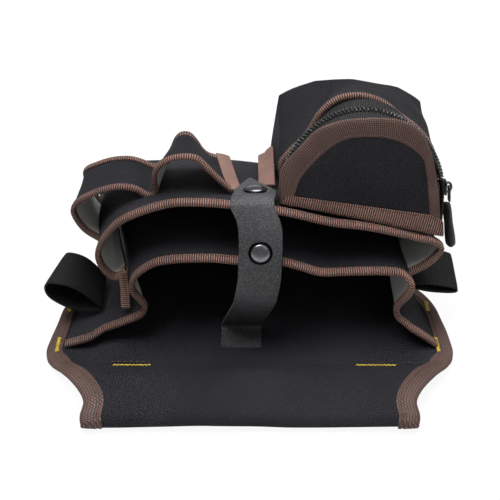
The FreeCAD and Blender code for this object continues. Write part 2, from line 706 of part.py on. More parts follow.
right_foot = "(%s + 2.2)" % base_line("coil_radius")
left_foot = "(%s - 0.8)" % base_line("-1 * coil_radius")
zip_end("zip_end_right", 1, "0", "%s - 0.6" % LID_FROM, right_foot)
zip_end("zip_end_left", -1, "%s + 0.6" % LID_TO, "180", left_foot)


def arch_points(radius, left, right):
    """Middle line of the pouch's front rim, from the left foot over the arch to the right."""
    points = [("-1 * (%s)" % radius, left)]
    for angle in (180, 150, 120, 90, 60, 30, 0):
        rise = "arch_centre + (%s) * sin(%d deg)" % (radius, angle)
        points.append(("(%s) * cos(%d deg)" % (radius, angle), rise))
    points.append((radius, right))
    return points


def far_points():
    """The same line at the pouch's far end, where it is boxier."""
    left = "(%s + pouch_base_gap)" % base_line("-1 * pouch_far_half")
    right = "(%s + pouch_base_gap)" % base_line("pouch_far_half")
    return [("-1 * pouch_far_half", left), ("-1 * pouch_far_left", "0.5 * pouch_far_corner"),
            ("-1 * pouch_far_left + 2", "pouch_far_corner - 2"),
            ("-0.42 * pouch_far_left", "pouch_far_top - 2"),
            ("0", "pouch_far_top"), ("0.5 * pouch_far_right", "pouch_far_top - 4"),
            ("0.8 * pouch_far_right", "pouch_far_corner + 3"), ("pouch_far_right", "0.6 * pouch_far_corner"),
            ("pouch_far_half", right)]


RIM_LEFT = "(%s + pouch_base_gap)" % base_line("-1 * arch_radius")
RIM_RIGHT = "(%s + pouch_base_gap)" % base_line("arch_radius")
rim = arch_points("arch_radius", RIM_LEFT, RIM_RIGHT)
rim_tape = thick(rim, miters(rim), "lip_thickness")
on_pouch(outline_body("zip_pouch_arch_tape", "XZ_Plane", "zip_tape_end + 0.2", rim_tape, "lip_width",
                      reverse=True))


def zip_pouch_shell():
    body = new_body("zip_pouch_shell")
    sketches = []
    stations = (("zip_tape_end + 0.2 + lip_width", rim), ("pouch_depth", far_points()))
    for number, (depth, points) in enumerate(stations):
        sketch = new_sketch(body, "zip_pouch_section_%d" % number, "XZ_Plane", depth)
        add_outline(sketch, thick(points, miters(points), "fabric"))
        sketches.append(sketch)
    loft = body.newObject("PartDesign::AdditiveLoft", "zip_pouch_loft")
    loft.Profile = sketches[0]
    loft.Sections = sketches[1:]
    loft.Ruled = True
    return on_pouch(body)


zip_pouch_shell()
far_line = far_points()
far_outline = moved(far_line, miters(far_line), "fabric / 2")
on_pouch(outline_body("zip_pouch_end", "XZ_Plane", "pouch_depth", far_outline, "fabric", reverse=True))

# The tape over the pouch's left seam, lying on the second pocket's front.
side_sections = []
for station in ("zip_y + 36", "zip_y + 76"):
    section = []
    for x, lift in (("second_ridge_x - 12.5", "0"), ("second_ridge_x - 12.5 + side_tape_width", "0"),
                    ("second_ridge_x - 12.5 + side_tape_width", "2 * tape_skin"),
                    ("second_ridge_x - 12.5", "2 * tape_skin")):
        section.append((x, "%s + %s" % (second_front_top(x, station), lift)))
    side_sections.append((station, section))
lofted_body("zip_pouch_side_tape", side_sections)

# ---------------------------------------------------------------- slider and puller

# Drawn about the zip's centre with the slider at angle zero, then turned to its parking angle.


def parked(body):
    turn = Rotation(Vector(0, 1, 0), -value("park_angle"))
    body.Placement = pouch_frame() * Placement(Vector(0, 0, value("coil_centre")), turn)
    return body


INNER_FACE = "(coil_radius - coil_wire - slider_gap)"
OUTER_FACE = "(coil_radius + coil_wire + slider_gap)"
BAIL_TOP = "(%s + slider_plate + bail_height)" % OUTER_FACE


def slider_box(body, name, x_from, x_to, half_length, y_from, y_to):
    sketch = new_sketch(body, name, "XZ_Plane", y_from)
    add_outline(sketch, [(x_from, "-1 * (%s)" % half_length), (x_to, "-1 * (%s)" % half_length),
                         (x_to, half_length), (x_from, half_length)])
    return pad(body, sketch, "(%s) - (%s)" % (y_to, y_from), reverse=True)


def zip_slider():
    body = new_body("zip_slider")
    low = "coil_middle - slider_width / 2"
    high = "coil_middle + slider_width / 2"
    plate = "slider_length / 2"
    slider_box(body, "slider_top", OUTER_FACE, "%s + slider_plate" % OUTER_FACE, plate, low, high)
    slider_box(body, "slider_neck_box",
               "%s - slider_plate / 2" % INNER_FACE, "%s + slider_plate / 2" % OUTER_FACE,
               "slider_length / 6", "coil_middle - slider_neck / 2", "coil_middle + slider_neck / 2")
    slider_box(body, "slider_bottom", "%s - slider_plate" % INNER_FACE, INNER_FACE, plate, low, high)
    sketch = new_sketch(body, "slider_bail", "XZ_Plane", "coil_middle - bail_wire")
    foot = "%s + slider_plate / 2" % OUTER_FACE
    add_outline(sketch, [(foot, "-1 * slider_length / 3"), (BAIL_TOP, "-1 * slider_length / 4"),
                         (BAIL_TOP, "slider_length / 4"), (foot, "slider_length / 3")])
    window = "%s + slider_plate" % OUTER_FACE
    add_outline(sketch, [(window, "-1 * slider_length / 6"),
                         ("%s - bail_wire" % BAIL_TOP, "-1 * slider_length / 6"),
                         ("%s - bail_wire" % BAIL_TOP, "slider_length / 6"), (window, "slider_length / 6")])
    pad(body, sketch, "2 * bail_wire", reverse=True)
    return parked(body)


zip_slider()

PIN_X = "(%s + slider_plate + (bail_height - bail_wire) / 2)" % OUTER_FACE


def link_outline(margin, low):
    """Four corners of the wire link, grown from the middle of its wire by a margin."""
    half = "(bail_wire + pin_clearance * 6 + link_wire / 2 + (%s))" % margin
    left, right = "coil_middle - %s" % half, "coil_middle + %s" % half
    return [(left, low), (right, low), (right, margin), (left, margin)]


def puller_link():
    """A closed wire link through the slider's bail, which carries the tab."""
    body = new_body("puller_link")
    wire = "link_wire / 2"
    sketch = new_sketch(body, "link_outline", "YZ_Plane", "%s - %s" % (PIN_X, wire))
    outer = link_outline(wire, "-1 * link_length")
    inner = link_outline("-1 * %s" % wire, "-1 * link_length + link_wire")
    add_outline(sketch, outer)
    add_outline(sketch, inner)
    pad(body, sketch, "link_wire")
    return parked(body)


def puller_tab():
    """The moulded pull, clipped over the end of the link."""
    body = new_body("puller_tab")
    sketch = new_sketch(body, "tab_outline", "YZ_Plane", "%s - tab_thickness / 2" % PIN_X)
    top = "-1 * link_length - seam_gap"
    low = "%s - tab_length" % top
    bulge = "%s + 3" % low
    right_side = [("coil_middle + tab_width / 3", low), ("coil_middle + tab_width / 2", bulge),
                  ("coil_middle + tab_width / 3", top)]
    left_side = [("coil_middle - tab_width / 3", top), ("coil_middle - tab_width / 2", bulge),
                 ("coil_middle - tab_width / 3", low)]
    add_outline(sketch, left_side + right_side)
    pad(body, sketch, "tab_thickness")
    return parked(body)


puller_link()
puller_tab()

# ---------------------------------------------------------------- closing strap

STRAP_SEAT = "(%s + seam_gap)" % PANEL_TOP
foot_end = "strap_foot_y + strap_foot_length"
outline_body("strap_foot", "YZ_Plane", "strap_foot_x - strap_width / 2",
             [(along("strap_foot_y"), STRAP_SEAT), (along(foot_end), STRAP_SEAT),
              (along(foot_end), "%s + strap_thickness" % STRAP_SEAT),
              (along("strap_foot_y"), "%s + strap_thickness" % STRAP_SEAT)], "strap_width")


def strap_points():
    """Side view of the strap's middle, from its foot to the bend over the pockets' mouths."""
    low = "%s + strap_thickness" % STRAP_SEAT
    return [(along("%s + 0.9" % foot_end), "%s + 1" % low), (along("%s - 3" % foot_end), "%s + 5.5" % low),
            (along("strap_foot_y + 5"), "%s + 10" % low), (along("strap_foot_y"), "%s + 19" % low),
            (along("strap_foot_y - 2.5"), "strap_bend_z - 62.6"),
            (along("strap_foot_y + 1"), "strap_bend_z - 42.6"),
            (along("strap_bend_y - 14.5"), "strap_bend_z - 20.6"),
            (along("strap_bend_y - 6.8"), "strap_bend_z - 6.6"),
            (along("strap_bend_y - 2.4"), "strap_bend_z - 0.7"),
            (along("strap_bend_y - 0.4"), "strap_bend_z - 0.05")]


def strap_sides():
    """Front view of the strap's span, which bows to the right on its way up."""
    low = "%s + strap_thickness" % STRAP_SEAT
    course = [("strap_foot_x", "%s - 1" % low), ("0.7 * strap_foot_x", "%s + 12" % low),
              ("0.5 * strap_x", "strap_bend_z - 62.6"), ("strap_middle_x", "strap_bend_z - 40.6"),
              ("strap_middle_x", "strap_bend_z - 13"), ("strap_x", "strap_bend_z - 1"),
              ("strap_x", "strap_bend_z + 2")]
    left = [("%s - strap_width / 2" % x, z) for x, z in course]
    right = [("%s + strap_width / 2" % x, z) for x, z in course]
    return right + left[::-1]


def spot_on(points, index, share):
    """A spot on one run of the strap and the direction out of its face there."""
    ends = [Vector(0, value(y), value(z)) for y, z in points[index:index + 2]]
    spot = ends[0] + (ends[1] - ends[0]) * value(share)
    run = (ends[1] - ends[0]).normalize()
    return spot, Vector(0, -run.z, run.y)


def strap_span():
    points = strap_points()
    side = outline_body("strap_span_side", "YZ_Plane", "strap_x - 2 * strap_width",
                        thick(points, miters(points), "strap_thickness"), "4 * strap_width")
    front = outline_body("strap_span_front", "XZ_Plane", along("strap_foot_y - 10"), strap_sides(),
                         "strap_bend_y - strap_foot_y + 12", reverse=True)
    return boolean("Common", "strap_span_blank", side, front)


def turned_from_up(place, direction):
    return Placement(place, Rotation(Vector(0, 0, 1), direction))


def post_hole(label, base, placement):
    """The strap less the hole that its snap's post passes through."""
    drill = doc.addObject("Part::Cylinder", label + "_hole")
    drill.setExpression("Radius", bound("snap_post_radius + seam_gap / 2"))
    drill.setExpression("Height", bound("strap_thickness * 4"))
    drill.Placement = placement * Placement(Vector(0, 0, -value("strap_thickness * 2")), Rotation())
    return boolean("Cut", label, base, drill)


MIDDLE_RUN = 5
middle_spot, middle_out = spot_on(strap_points(), MIDDLE_RUN, "snap_middle_share")
middle_snap = turned_from_up(Vector(value("strap_middle_x"), middle_spot.y, middle_spot.z), middle_out)
post_hole("strap_span", strap_span(), middle_snap)


def tip_placement():
    place = Vector(value("strap_x"), value(along("strap_bend_y")), value("strap_bend_z"))
    return Placement(place, Rotation(Vector(1, 0, 0), -value("strap_tip_slope")))


def strap_tip():
    body = new_body("strap_tip_blank")
    sketch = new_sketch(body, "strap_tip_outline", "XY_Plane", "-1 * strap_thickness / 2")
    half = "strap_width / 2"
    shoulder = "strap_tip_length - strap_tip_point"
    add_outline(sketch, [("-1 * %s" % half, "0.4"), (half, "0.4"), (half, shoulder),
                         ("strap_width * 0.3 - 0.4 * strap_tip_shift",
                          "strap_tip_length - 0.45 * strap_tip_point"),
                         ("strap_width * 0.08 - strap_tip_shift", "strap_tip_length"),
                         ("-1 * strap_width * 0.08 - strap_tip_shift", "strap_tip_length"),
                         ("-1 * strap_width * 0.35", "strap_tip_length - 0.35 * strap_tip_point"),
                         ("-1 * %s" % half, "%s + strap_tip_shift" % shoulder)])
    pad(body, sketch, "strap_thickness")
    body.Placement = tip_placement()
    return body


tip_snap = tip_placement() * Placement(Vector(0, value("snap_reach"), 0), Rotation())
post_hole("strap_tip", strap_tip(), tip_snap)

# ---------------------------------------------------------------- snaps


def turned_body(label, points, placement):
    """A round piece from half its section, drawn as radius and height."""
    body = new_body(label)
    sketch = new_sketch(body, label + "_section", "XZ_Plane", "0")
    add_outline(sketch, points)
    turn = body.newObject("PartDesign::Revolution", label + "_turn")
    turn.Profile = sketch
    turn.ReferenceAxis = (sketch, ["V_Axis"])
    turn.Angle = 360
    body.Placement = placement
    return body


def snap_cap(label, placement):
    """Domed cap on the strap's face, with the post that holds the socket behind."""
    face = "strap_thickness / 2 + 0.02"
    post_end = "-1 * (strap_thickness / 2 + 0.5)"
    return turned_body(label, [("0", post_end), ("snap_post_radius", post_end), ("snap_post_radius", face),
                               ("snap_cap_radius - 0.4", face), ("snap_cap_radius", "%s + 0.4" % face),
                               ("snap_cap_radius - 0.5", "%s + 0.55 * snap_cap_height" % face),
                               ("snap_cap_radius - 1.5", "%s + 0.72 * snap_cap_height" % face),
                               ("0.5 * snap_cap_radius", "%s + 0.93 * snap_cap_height" % face),
                               ("0", "%s + snap_cap_height" % face)], placement)


def snap_socket(label, placement):
    """Socket on the strap's back, open downward around the stud's head."""
    back = "-1 * (strap_thickness / 2 + 0.02)"
    seat = "-1 * (strap_thickness / 2 + 0.5)"
    return turned_body(label, [("snap_post_radius + 0.01", back), ("snap_socket_radius", back),
                               ("snap_socket_radius", "%s - 0.75 * snap_socket_height" % back),
                               ("snap_socket_radius - 0.5", "%s - snap_socket_height" % back),
                               ("snap_cavity_radius", "%s - snap_socket_height" % back),
                               ("snap_cavity_radius", "%s - 0.1" % seat),
                               ("snap_post_radius + 0.01", "%s - 0.1" % seat)], placement)


snap_cap("snap_cap_tip", tip_snap)
snap_cap("snap_cap_middle", middle_snap)
snap_socket("snap_socket_tip", tip_snap)
snap_socket("snap_socket_middle", middle_snap)


def stud_place():
    """Foot of the stud, straight under the tip's snap on the second pocket's front."""
    down = tip_snap.Rotation.multVec(Vector(0, 0, -1))
    reach = value("strap_thickness / 2 + snap_socket_height + seam_gap")
    return Placement(tip_snap.Base + down * reach, tip_snap.Rotation)


def snap_stud():
    flange = "-1 * stud_flange_height"
    section = [("0", flange), ("stud_flange_radius", flange), ("stud_flange_radius", "0"), ("stud_radius", "0"),
               ("stud_radius + 0.25", "0.7 * stud_height"), ("stud_radius - 0.3", "stud_height"),
               ("0", "stud_height")]
    blank = turned_body("snap_stud_blank", section, stud_place())
    return boolean("Cut", "snap_stud", blank, second_pocket_front)


snap_stud()

# ---------------------------------------------------------------- side webbing loops


LOOP_BULGE = [(0.2, 0.62), (0.45, 1.0), (0.72, 0.95), (0.93, 0.66), (1.0, 0.3)]


def webbing_loop(label, root, reach, loop_height, side, rise):
    """A loop of ribbed webbing that stands out from the main pocket's gusset."""
    sections = []
    half = "((%s) / 2)" % loop_height
    far_edge = "webbing_y + webbing_width"
    for station, lift, shift in (("webbing_y", "0", "0"), (far_edge, rise, "0.55 * (%s)" % rise)):

        def spot(out, up):
            across = "%s + %s * (%s) + (1 - %s) * %s" % (root[0], out, reach[0], out, shift)
            return across, "%s + %s * (%s) + %s + %s" % (root[1], out, reach[1], up, lift)

        upper = [spot("0", "webbing / 2 + 0.3")]
        lower = [spot("0", "-1 * (webbing / 2 + 0.3)")]
        for out, up in LOOP_BULGE:
            upper.append(spot(str(out), "%s * %s" % (up, half)))
            lower.append(spot(str(out), "-%s * %s" % (up, half)))
        ring = upper + lower[::-1] if side < 0 else lower + upper[::-1]
        sections.append((station, ring))
    body = new_body(label)
    for name, amount in (("outside", "-1 * webbing / 2"), ("inside", "webbing / 2")):
        sketches = []
        for number, (station, ring) in enumerate(sections):
            sketch = new_sketch(body, "%s_%s_%d" % (label, name, number), "XZ_Plane", along(station))
            add_outline(sketch, moved(ring, miters(ring, True), amount))
            sketches.append(sketch)
        kind = "PartDesign::AdditiveLoft" if name == "outside" else "PartDesign::SubtractiveLoft"
        loft = body.newObject(kind, "%s_%s_loft" % (label, name))
        loft.Profile = sketches[0]
        loft.Sections = sketches[1:]
        loft.Ruled = True
    return body


main_mouth = main_points("mouth")


def left_loop_root():
    """A spot on the left gusset, between the main pocket's seam and its crease."""
    seam, crease = main_mouth[0], main_mouth[1]
    across = "(%s + left_root_share * (%s - (%s)))" % (seam[0], crease[0], seam[0])
    up = "(%s + left_root_share * (%s - %s) + left_root_lift)" % (seam[1], crease[1], seam[1])
    return across, up


def right_loop_root():
    """A spot on the right gusset, outward and up from the main pocket's crease."""
    crease = main_mouth[8]
    return "(%s + right_root_out)" % crease[0], "(%s + right_root_up)" % crease[1]


webbing_loop("webbing_loop_left", left_loop_root(), ("-1 * left_loop_reach", "left_tip_lift"),
             "left_loop_height", -1, "0")
webbing_loop("webbing_loop_right", right_loop_root(), ("right_loop_reach", "-1 * right_tip_drop"),
             "right_loop_height", 1, "right_loop_rise")

# ---------------------------------------------------------------- bartacks


def tack(name, x, y, z, length, width):
    box = doc.addObject("Part::Box", name)
    box.setExpression("Length", bound(length))
    box.setExpression("Width", bound(width))
    box.setExpression("Height", bound("tack_height"))
    box.setExpression(".Placement.Base.x", bound("%s - (%s) / 2" % (x, length)))
    box.setExpression(".Placement.Base.y", bound("%s - (%s) / 2" % (along(y), width)))
    box.setExpression(".Placement.Base.z", bound(z))
    return box


tacks = []
for side, name in ((-1, "left"), (1, "right")):
    tacks.append(tack("tunnel_tack_" + name, "%d * tack_x" % side, "tunnel_end + 0.6 * tack_width", PANEL_TOP,
                      "tack_length", "tack_width"))
    tape_top = "%s + tape_skin" % PANEL_TOP
    tacks.append(tack("mouth_tack_" + name, "%d * (shoulder_half - 0.5 * edge_tape_width)" % side,
                      "shoulder_y + 4", tape_top, "tack_width", "tack_short"))
    tacks.append(tack("loop_tack_" + name, "%d * (shoulder_half - 0.55 * edge_tape_width)" % side,
                      "loop_tack_y", tape_top, "tack_width", "tack_short"))
bartacks = doc.addObject("Part::Compound", "bartacks")
bartacks.Links = tacks
bartacks.Label = "bartacks"

# ---------------------------------------------------------------- check and write

NODES = [
    "back_panel_face", "back_panel_foam", "back_panel_lining", "edge_tape",
    "main_pocket_front", "main_gusset_left", "main_gusset_right", "main_pocket_lip",
    "second_pocket_front", "second_gusset_left", "second_gusset_right", "second_pocket_lip",
    "seam_tape_end",
    "tool_loop_band", "tool_loop_near_tape", "tool_loop_far_tape", "tool_loop_end_tape",
    "zip_pouch_shell", "zip_pouch_end", "zip_pouch_arch_tape", "zip_pouch_side_tape",
    "zip_tape_pouch", "zip_coil_pouch", "zip_end_left", "zip_end_right",
    "lid_panel", "lid_border_tape", "zip_tape_lid", "zip_coil_lid",
    "zip_slider", "puller_link", "puller_tab",
    "strap_foot", "strap_span", "strap_tip",
    "snap_cap_tip", "snap_cap_middle", "snap_socket_tip", "snap_socket_middle", "snap_stud",
    "webbing_loop_left", "webbing_loop_right", "bartacks",
]

doc.removeObject(reader.Name)
doc.recompute()

for item in doc.Objects:
    if "Invalid" in item.State or "Error" in item.State:
        raise RuntimeError("%s did not build: %s" % (item.Label, item.State))

published = {}
for label in NODES:
    item = [found for found in doc.Objects if found.Label == label][0]
    if item.Shape.isNull() or not item.Shape.isValid():
        raise RuntimeError("%s has no valid shape" % label)
    published[label] = item

os.makedirs("parts", exist_ok=True)
for label, item in published.items():
    item.Shape.exportStep("parts/%s.step" % label)
    print("%-22s %2d solids %10.1f mm3" % (label, len(item.Shape.Solids), item.Shape.Volume))
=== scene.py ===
import math

import bmesh
import bpy
import numpy as np
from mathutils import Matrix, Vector, noise


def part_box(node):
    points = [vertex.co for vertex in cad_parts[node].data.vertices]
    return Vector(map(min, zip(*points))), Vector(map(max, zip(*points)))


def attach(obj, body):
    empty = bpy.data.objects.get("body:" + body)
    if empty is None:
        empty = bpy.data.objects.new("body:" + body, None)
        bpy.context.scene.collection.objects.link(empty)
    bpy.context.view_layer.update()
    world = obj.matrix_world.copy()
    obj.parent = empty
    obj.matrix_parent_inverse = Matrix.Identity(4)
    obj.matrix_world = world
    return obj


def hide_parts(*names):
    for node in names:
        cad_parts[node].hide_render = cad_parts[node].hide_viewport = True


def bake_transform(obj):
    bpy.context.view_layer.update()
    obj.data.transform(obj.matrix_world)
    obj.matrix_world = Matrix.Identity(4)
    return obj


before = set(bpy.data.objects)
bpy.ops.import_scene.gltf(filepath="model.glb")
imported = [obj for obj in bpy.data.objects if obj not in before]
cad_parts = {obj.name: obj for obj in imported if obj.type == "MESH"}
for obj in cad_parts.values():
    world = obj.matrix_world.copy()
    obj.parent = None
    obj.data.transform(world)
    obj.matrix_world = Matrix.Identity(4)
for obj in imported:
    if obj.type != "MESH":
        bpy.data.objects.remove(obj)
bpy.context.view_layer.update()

bl_info = {
    "name": "Electrician Tool Pouch",
    "version": (1, 0, 0),
    "blender": (4, 5, 0),
    "location": "View3D > Sidebar > Tool Pouch",
    "description": "Sews a waist tool pouch over its packed frame, piece by piece",
    "category": "Add Mesh",
}

MM = 0.001
BELT_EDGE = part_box("edge_tape")[0].y / MM
PANEL_TOP = 5.1

# ---------------------------------------------------------------- sizes and colours


class PouchSizes(bpy.types.PropertyGroup):
    """Sizes of the cloth, the tape and the stitches."""

    cloth: bpy.props.FloatProperty(
        name="Cloth", description="Thickness of the coated cloth", default=1.2 * MM, unit="LENGTH")
    tape_skin: bpy.props.FloatProperty(
        name="Tape", description="Thickness of the binding tape", default=0.8 * MM, unit="LENGTH")
    rib: bpy.props.FloatProperty(
        name="Tape rib", description="From one rib of the tape to the next", default=1.35 * MM, unit="LENGTH")
    lip_width: bpy.props.FloatProperty(
        name="Lip width", description="Width of the tape folded over a pocket's mouth", default=5.5 * MM,
        unit="LENGTH")
    lip_thickness: bpy.props.FloatProperty(
        name="Lip thickness", description="Thickness of a pocket's bound mouth", default=3.2 * MM,
        unit="LENGTH")
    weave: bpy.props.FloatProperty(
        name="Weave", description="Over two threads of the oxford weave", default=1.6 * MM, unit="LENGTH")
    stitch: bpy.props.FloatProperty(
        name="Stitch", description="From one stitch to the next", default=3.0 * MM, unit="LENGTH")
    strap_thickness: bpy.props.FloatProperty(
        name="Strap thickness", description="Thickness of the closing strap", default=1.6 * MM,
        unit="LENGTH")
    webbing: bpy.props.FloatProperty(
        name="Webbing thickness", description="Thickness of the side loops' webbing", default=1.6 * MM,
        unit="LENGTH")


def colour(name, description, default):
    return bpy.props.FloatVectorProperty(
        name=name, description=description, default=default, subtype="COLOR", size=3, min=0, max=1)


class PouchColours(bpy.types.PropertyGroup):
    """Colours of the finishes, as linear values."""

    cloth: colour("Cloth", "Raised threads of the black oxford cloth", (0.0148, 0.0143, 0.0175))
    coating: colour("Coating", "Coated back of the cloth", (0.55, 0.545, 0.53))
    tape: colour("Binding tape", "Ribs of the binding tape", (0.20, 0.112, 0.090))
    # Painted shade: the near-black colour laid in the gaps between the tape's ribs.
    tape_gap_shade: colour("Tape gaps", "Gaps between the ribs", (0.012, 0.006, 0.005))
    strap: colour("Strap", "Pebbled face of the closing strap", (0.050, 0.0505, 0.0545))
    webbing: colour("Webbing", "Ribs of the side loops", (0.005, 0.005, 0.006))
    thread: colour("Bartack thread", "Thread of the bartacks", (0.75, 0.56, 0.055))
    metal: colour("Snap metal", "Blackened metal of the snaps and the slider", (0.16, 0.16, 0.17))


def sizes():
    return bpy.context.scene.tool_pouch_sizes


def colours():
    return bpy.context.scene.tool_pouch_colours


# ---------------------------------------------------------------- finishes

FINISHES = {}


class Finish:
    """A procedural material, with short calls for its nodes."""

    def __init__(self, name, roughness, **sockets):
        self.material = bpy.data.materials.new(name)
        self.material.use_nodes = True
        self.nodes = self.material.node_tree.nodes
        self.links = self.material.node_tree.links
        self.shader = self.nodes["Principled BSDF"]
        self.shader.inputs["Roughness"].default_value = roughness
        for socket, value in sockets.items():
            self.shader.inputs[socket.replace("_", " ")].default_value = value
        self.place = self.nodes.new("ShaderNodeTexCoord")
        self.uv = self.nodes.new("ShaderNodeSeparateXYZ")
        self.links.new(self.place.outputs["UV"], self.uv.inputs[0])
        self.along = self.uv.outputs["X"]
        self.across = self.uv.outputs["Y"]

    def feed(self, socket, value):
        if isinstance(value, bpy.types.NodeSocket):
            self.links.new(value, socket)
        else:
            socket.default_value = value

    def calc(self, operation, first, second=0.0, third=0.0):
        node = self.nodes.new("ShaderNodeMath")
        node.operation = operation
        for socket, value in zip(node.inputs, (first, second, third)):
            self.feed(socket, value)
        return node.outputs[0]

    def wave(self, distance, pitch):
        """A smooth wave from 0 to 1, once for each pitch."""
        turn = self.calc("SINE", self.calc("MULTIPLY", distance, 2 * math.pi / pitch))
        return self.calc("MULTIPLY_ADD", turn, 0.5, 0.5)

    def speckle(self, size, detail=2.0, solid=False):
        """Noise whose grains are about this many metres across."""
        node = self.nodes.new("ShaderNodeTexNoise")
        node.inputs["Scale"].default_value = 1 / size
        node.inputs["Detail"].default_value = detail
        self.links.new(self.place.outputs["Object" if solid else "UV"], node.inputs["Vector"])
        return node.outputs["Fac"]

    def cells(self, size):
        node = self.nodes.new("ShaderNodeTexVoronoi")
        node.feature = "F1"
        node.inputs["Scale"].default_value = 1 / size
        self.links.new(self.place.outputs["UV"], node.inputs["Vector"])
        return node.outputs["Distance"]

    def remap(self, value, low, high, start=0.0, end=1.0):
        node = self.nodes.new("ShaderNodeMapRange")
        for socket, number in zip(node.inputs, (value, low, high, start, end)):
            self.feed(socket, number)
        return node.outputs[0]

    def mix(self, share, low, high):
        node = self.nodes.new("ShaderNodeMix")
        node.data_type = "RGBA"
        self.feed(node.inputs["Factor"], share)
        for socket, tone in ((node.inputs["A"], low), (node.inputs["B"], high)):
            self.feed(socket, tone if isinstance(tone, bpy.types.NodeSocket) else (*tone, 1))
        return node.outputs["Result"]

    def paint(self, tone, roughness, height, depth, strength=1.0):
        """Lead the colour, the roughness and the relief into the shader."""
        self.links.new(tone, self.shader.inputs["Base Color"])
        self.links.new(roughness, self.shader.inputs["Roughness"])
        bump = self.nodes.new("ShaderNodeBump")
        bump.inputs["Distance"].default_value = depth
        bump.inputs["Strength"].default_value = strength
        self.links.new(height, bump.inputs["Height"])
        self.links.new(bump.outputs["Normal"], self.shader.inputs["Normal"])
        return self.material


def shade(tone, amount):
    return tuple(channel * amount for channel in tone)


def black_oxford(name, pitch, lightness=1.0):
    finish = Finish(name, 0.8, Specular_IOR_Level=0.12)
    warp = finish.calc("SINE", finish.calc("MULTIPLY", finish.along, 2 * math.pi / pitch))
    weft = finish.calc("SINE", finish.calc("MULTIPLY", finish.across, 2 * math.pi / pitch))
    height = finish.calc("MULTIPLY_ADD", finish.calc("MULTIPLY", warp, weft), 0.5, 0.5)
    # Painted light: the fine speckle lifts scattered threads into bright specks, a painted sheen, and the
    # thread height paints the raised threads lighter and the gaps between them darker, painted shade.
    fine = finish.speckle(pitch * 0.45)
    light = finish.calc("MULTIPLY", height, finish.remap(fine, 0.38, 0.68, 0.05, 1.6))
    worn = finish.remap(finish.speckle(0.045, 3.0, True), 0.3, 0.7, 0.75, 1.2)
    tone = shade(tuple(colours().cloth), lightness)
    mixed = finish.mix(finish.calc("MULTIPLY", light, worn), shade(tone, 0.1), shade(tone, 3.1))
    return finish.paint(mixed, finish.remap(height, 0, 1, 0.92, 0.7), height, 0.00014)


def coated_back():
    finish = Finish("coated_back", 0.6)
    print_through = finish.calc("MULTIPLY", finish.wave(finish.along, 0.0011),
                                finish.wave(finish.across, 0.0011))
    cloud = finish.speckle(0.02, 3.0, True)
    tone = tuple(colours().coating)
    mixed = finish.mix(finish.calc("MULTIPLY_ADD", print_through, 0.25, cloud), shade(tone, 0.72),
                       shade(tone, 1.12))
    return finish.paint(mixed, finish.remap(cloud, 0.3, 0.7, 0.5, 0.7), print_through, 0.0001)


def binding_tape():
    finish = Finish("binding_tape", 0.7, Specular_IOR_Level=0.3)
    rib = sizes().rib
    ridge = finish.wave(finish.along, rib)
    beads = finish.wave(finish.calc("MULTIPLY_ADD", finish.along, 0.5, finish.across), 0.0011)
    fine = finish.speckle(0.0009)
    cord = finish.calc("POWER", ridge, 1.4)
    height = finish.calc("MULTIPLY", cord, finish.calc("MULTIPLY_ADD", beads, 0.45, 0.55))
    light = finish.calc("MULTIPLY", height, finish.remap(fine, 0.3, 0.7, 0.6, 1.5))
    faded = finish.remap(finish.speckle(0.018, 3.0, True), 0.3, 0.7, 0.72, 1.2)
    # Painted light: rib tops are painted up to 1.7 times the tape's colour as a highlight, and the gaps
    # between ribs take the painted shade colour.
    mixed = finish.mix(finish.calc("MULTIPLY", light, faded), tuple(colours().tape_gap_shade),
                       shade(tuple(colours().tape), 1.7))
    return finish.paint(mixed, finish.remap(height, 0, 1, 0.85, 0.55), height, 0.0003)


def flat_tape(name, contrast, slant, lightness=1.0):
    """The tape's flat runs, where its slanted ribs are pressed down."""
    finish = Finish(name, 0.65, Specular_IOR_Level=0.35)
    slanted = finish.calc("MULTIPLY_ADD", finish.across, slant, finish.along)
    ridge = finish.wave(slanted, sizes().rib * 0.95)
    fine = finish.remap(finish.speckle(0.0008), 0.3, 0.7, 0.8, 1.2)
    cloud = finish.remap(finish.speckle(0.012, 3.0, True), 0.3, 0.7, 0.78, 1.12)
    beads = finish.wave(finish.across, 0.0011)
    pattern = finish.calc("MULTIPLY_ADD", finish.calc("MULTIPLY", ridge, beads), contrast, 1 - contrast)
    ribs = finish.calc("MULTIPLY", pattern, fine)
    # Painted light: the ridges are painted lighter as a highlight, and the gaps between them darker with the
    # painted shade colour.
    low = shade(tuple(colours().tape_gap_shade), 2.0 * lightness)
    high = shade(tuple(colours().tape), 1.05 * lightness)
    mixed = finish.mix(finish.calc("MULTIPLY", ribs, cloud), low, high)
    return finish.paint(mixed, finish.remap(ridge, 0, 1, 0.72, 0.55), ridge, 0.0001)


def strap_leather():
    finish = Finish("strap_leather", 0.5, Specular_IOR_Level=0.4)
    pebble = finish.cells(0.00095)
    fine = finish.speckle(0.0006, 3.0)
    height = finish.calc("MULTIPLY_ADD", fine, 0.5, finish.remap(pebble, 0.0, 0.75, 1.0, 0.0))
    tone = tuple(colours().strap)
    rubbed = finish.remap(finish.speckle(0.03, 3.0, True), 0.3, 0.7, 0.0, 0.3)
    # Painted light: the pebble tops are painted lighter as a highlight, and the hollows between them darker
    # as painted shade.
    share = finish.calc("ADD", finish.remap(height, 0.7, 1.2, 0.0, 1.0), rubbed)
    mixed = finish.mix(share, shade(tone, 0.35), shade(tone, 2.1))
    return finish.paint(mixed, finish.remap(height, 0.4, 1.4, 0.62, 0.4), height, 0.00022)


def cut_edge():
    finish = Finish("strap_cut_edge", 0.75)
    fibre = finish.speckle(0.0006, 4.0, True)
    tone = tuple(colours().strap)
    mixed = finish.mix(fibre, shade(tone, 1.0), shade(tone, 2.8))
    return finish.paint(mixed, finish.remap(fibre, 0.3, 0.7, 0.65, 0.85), fibre, 0.0001)


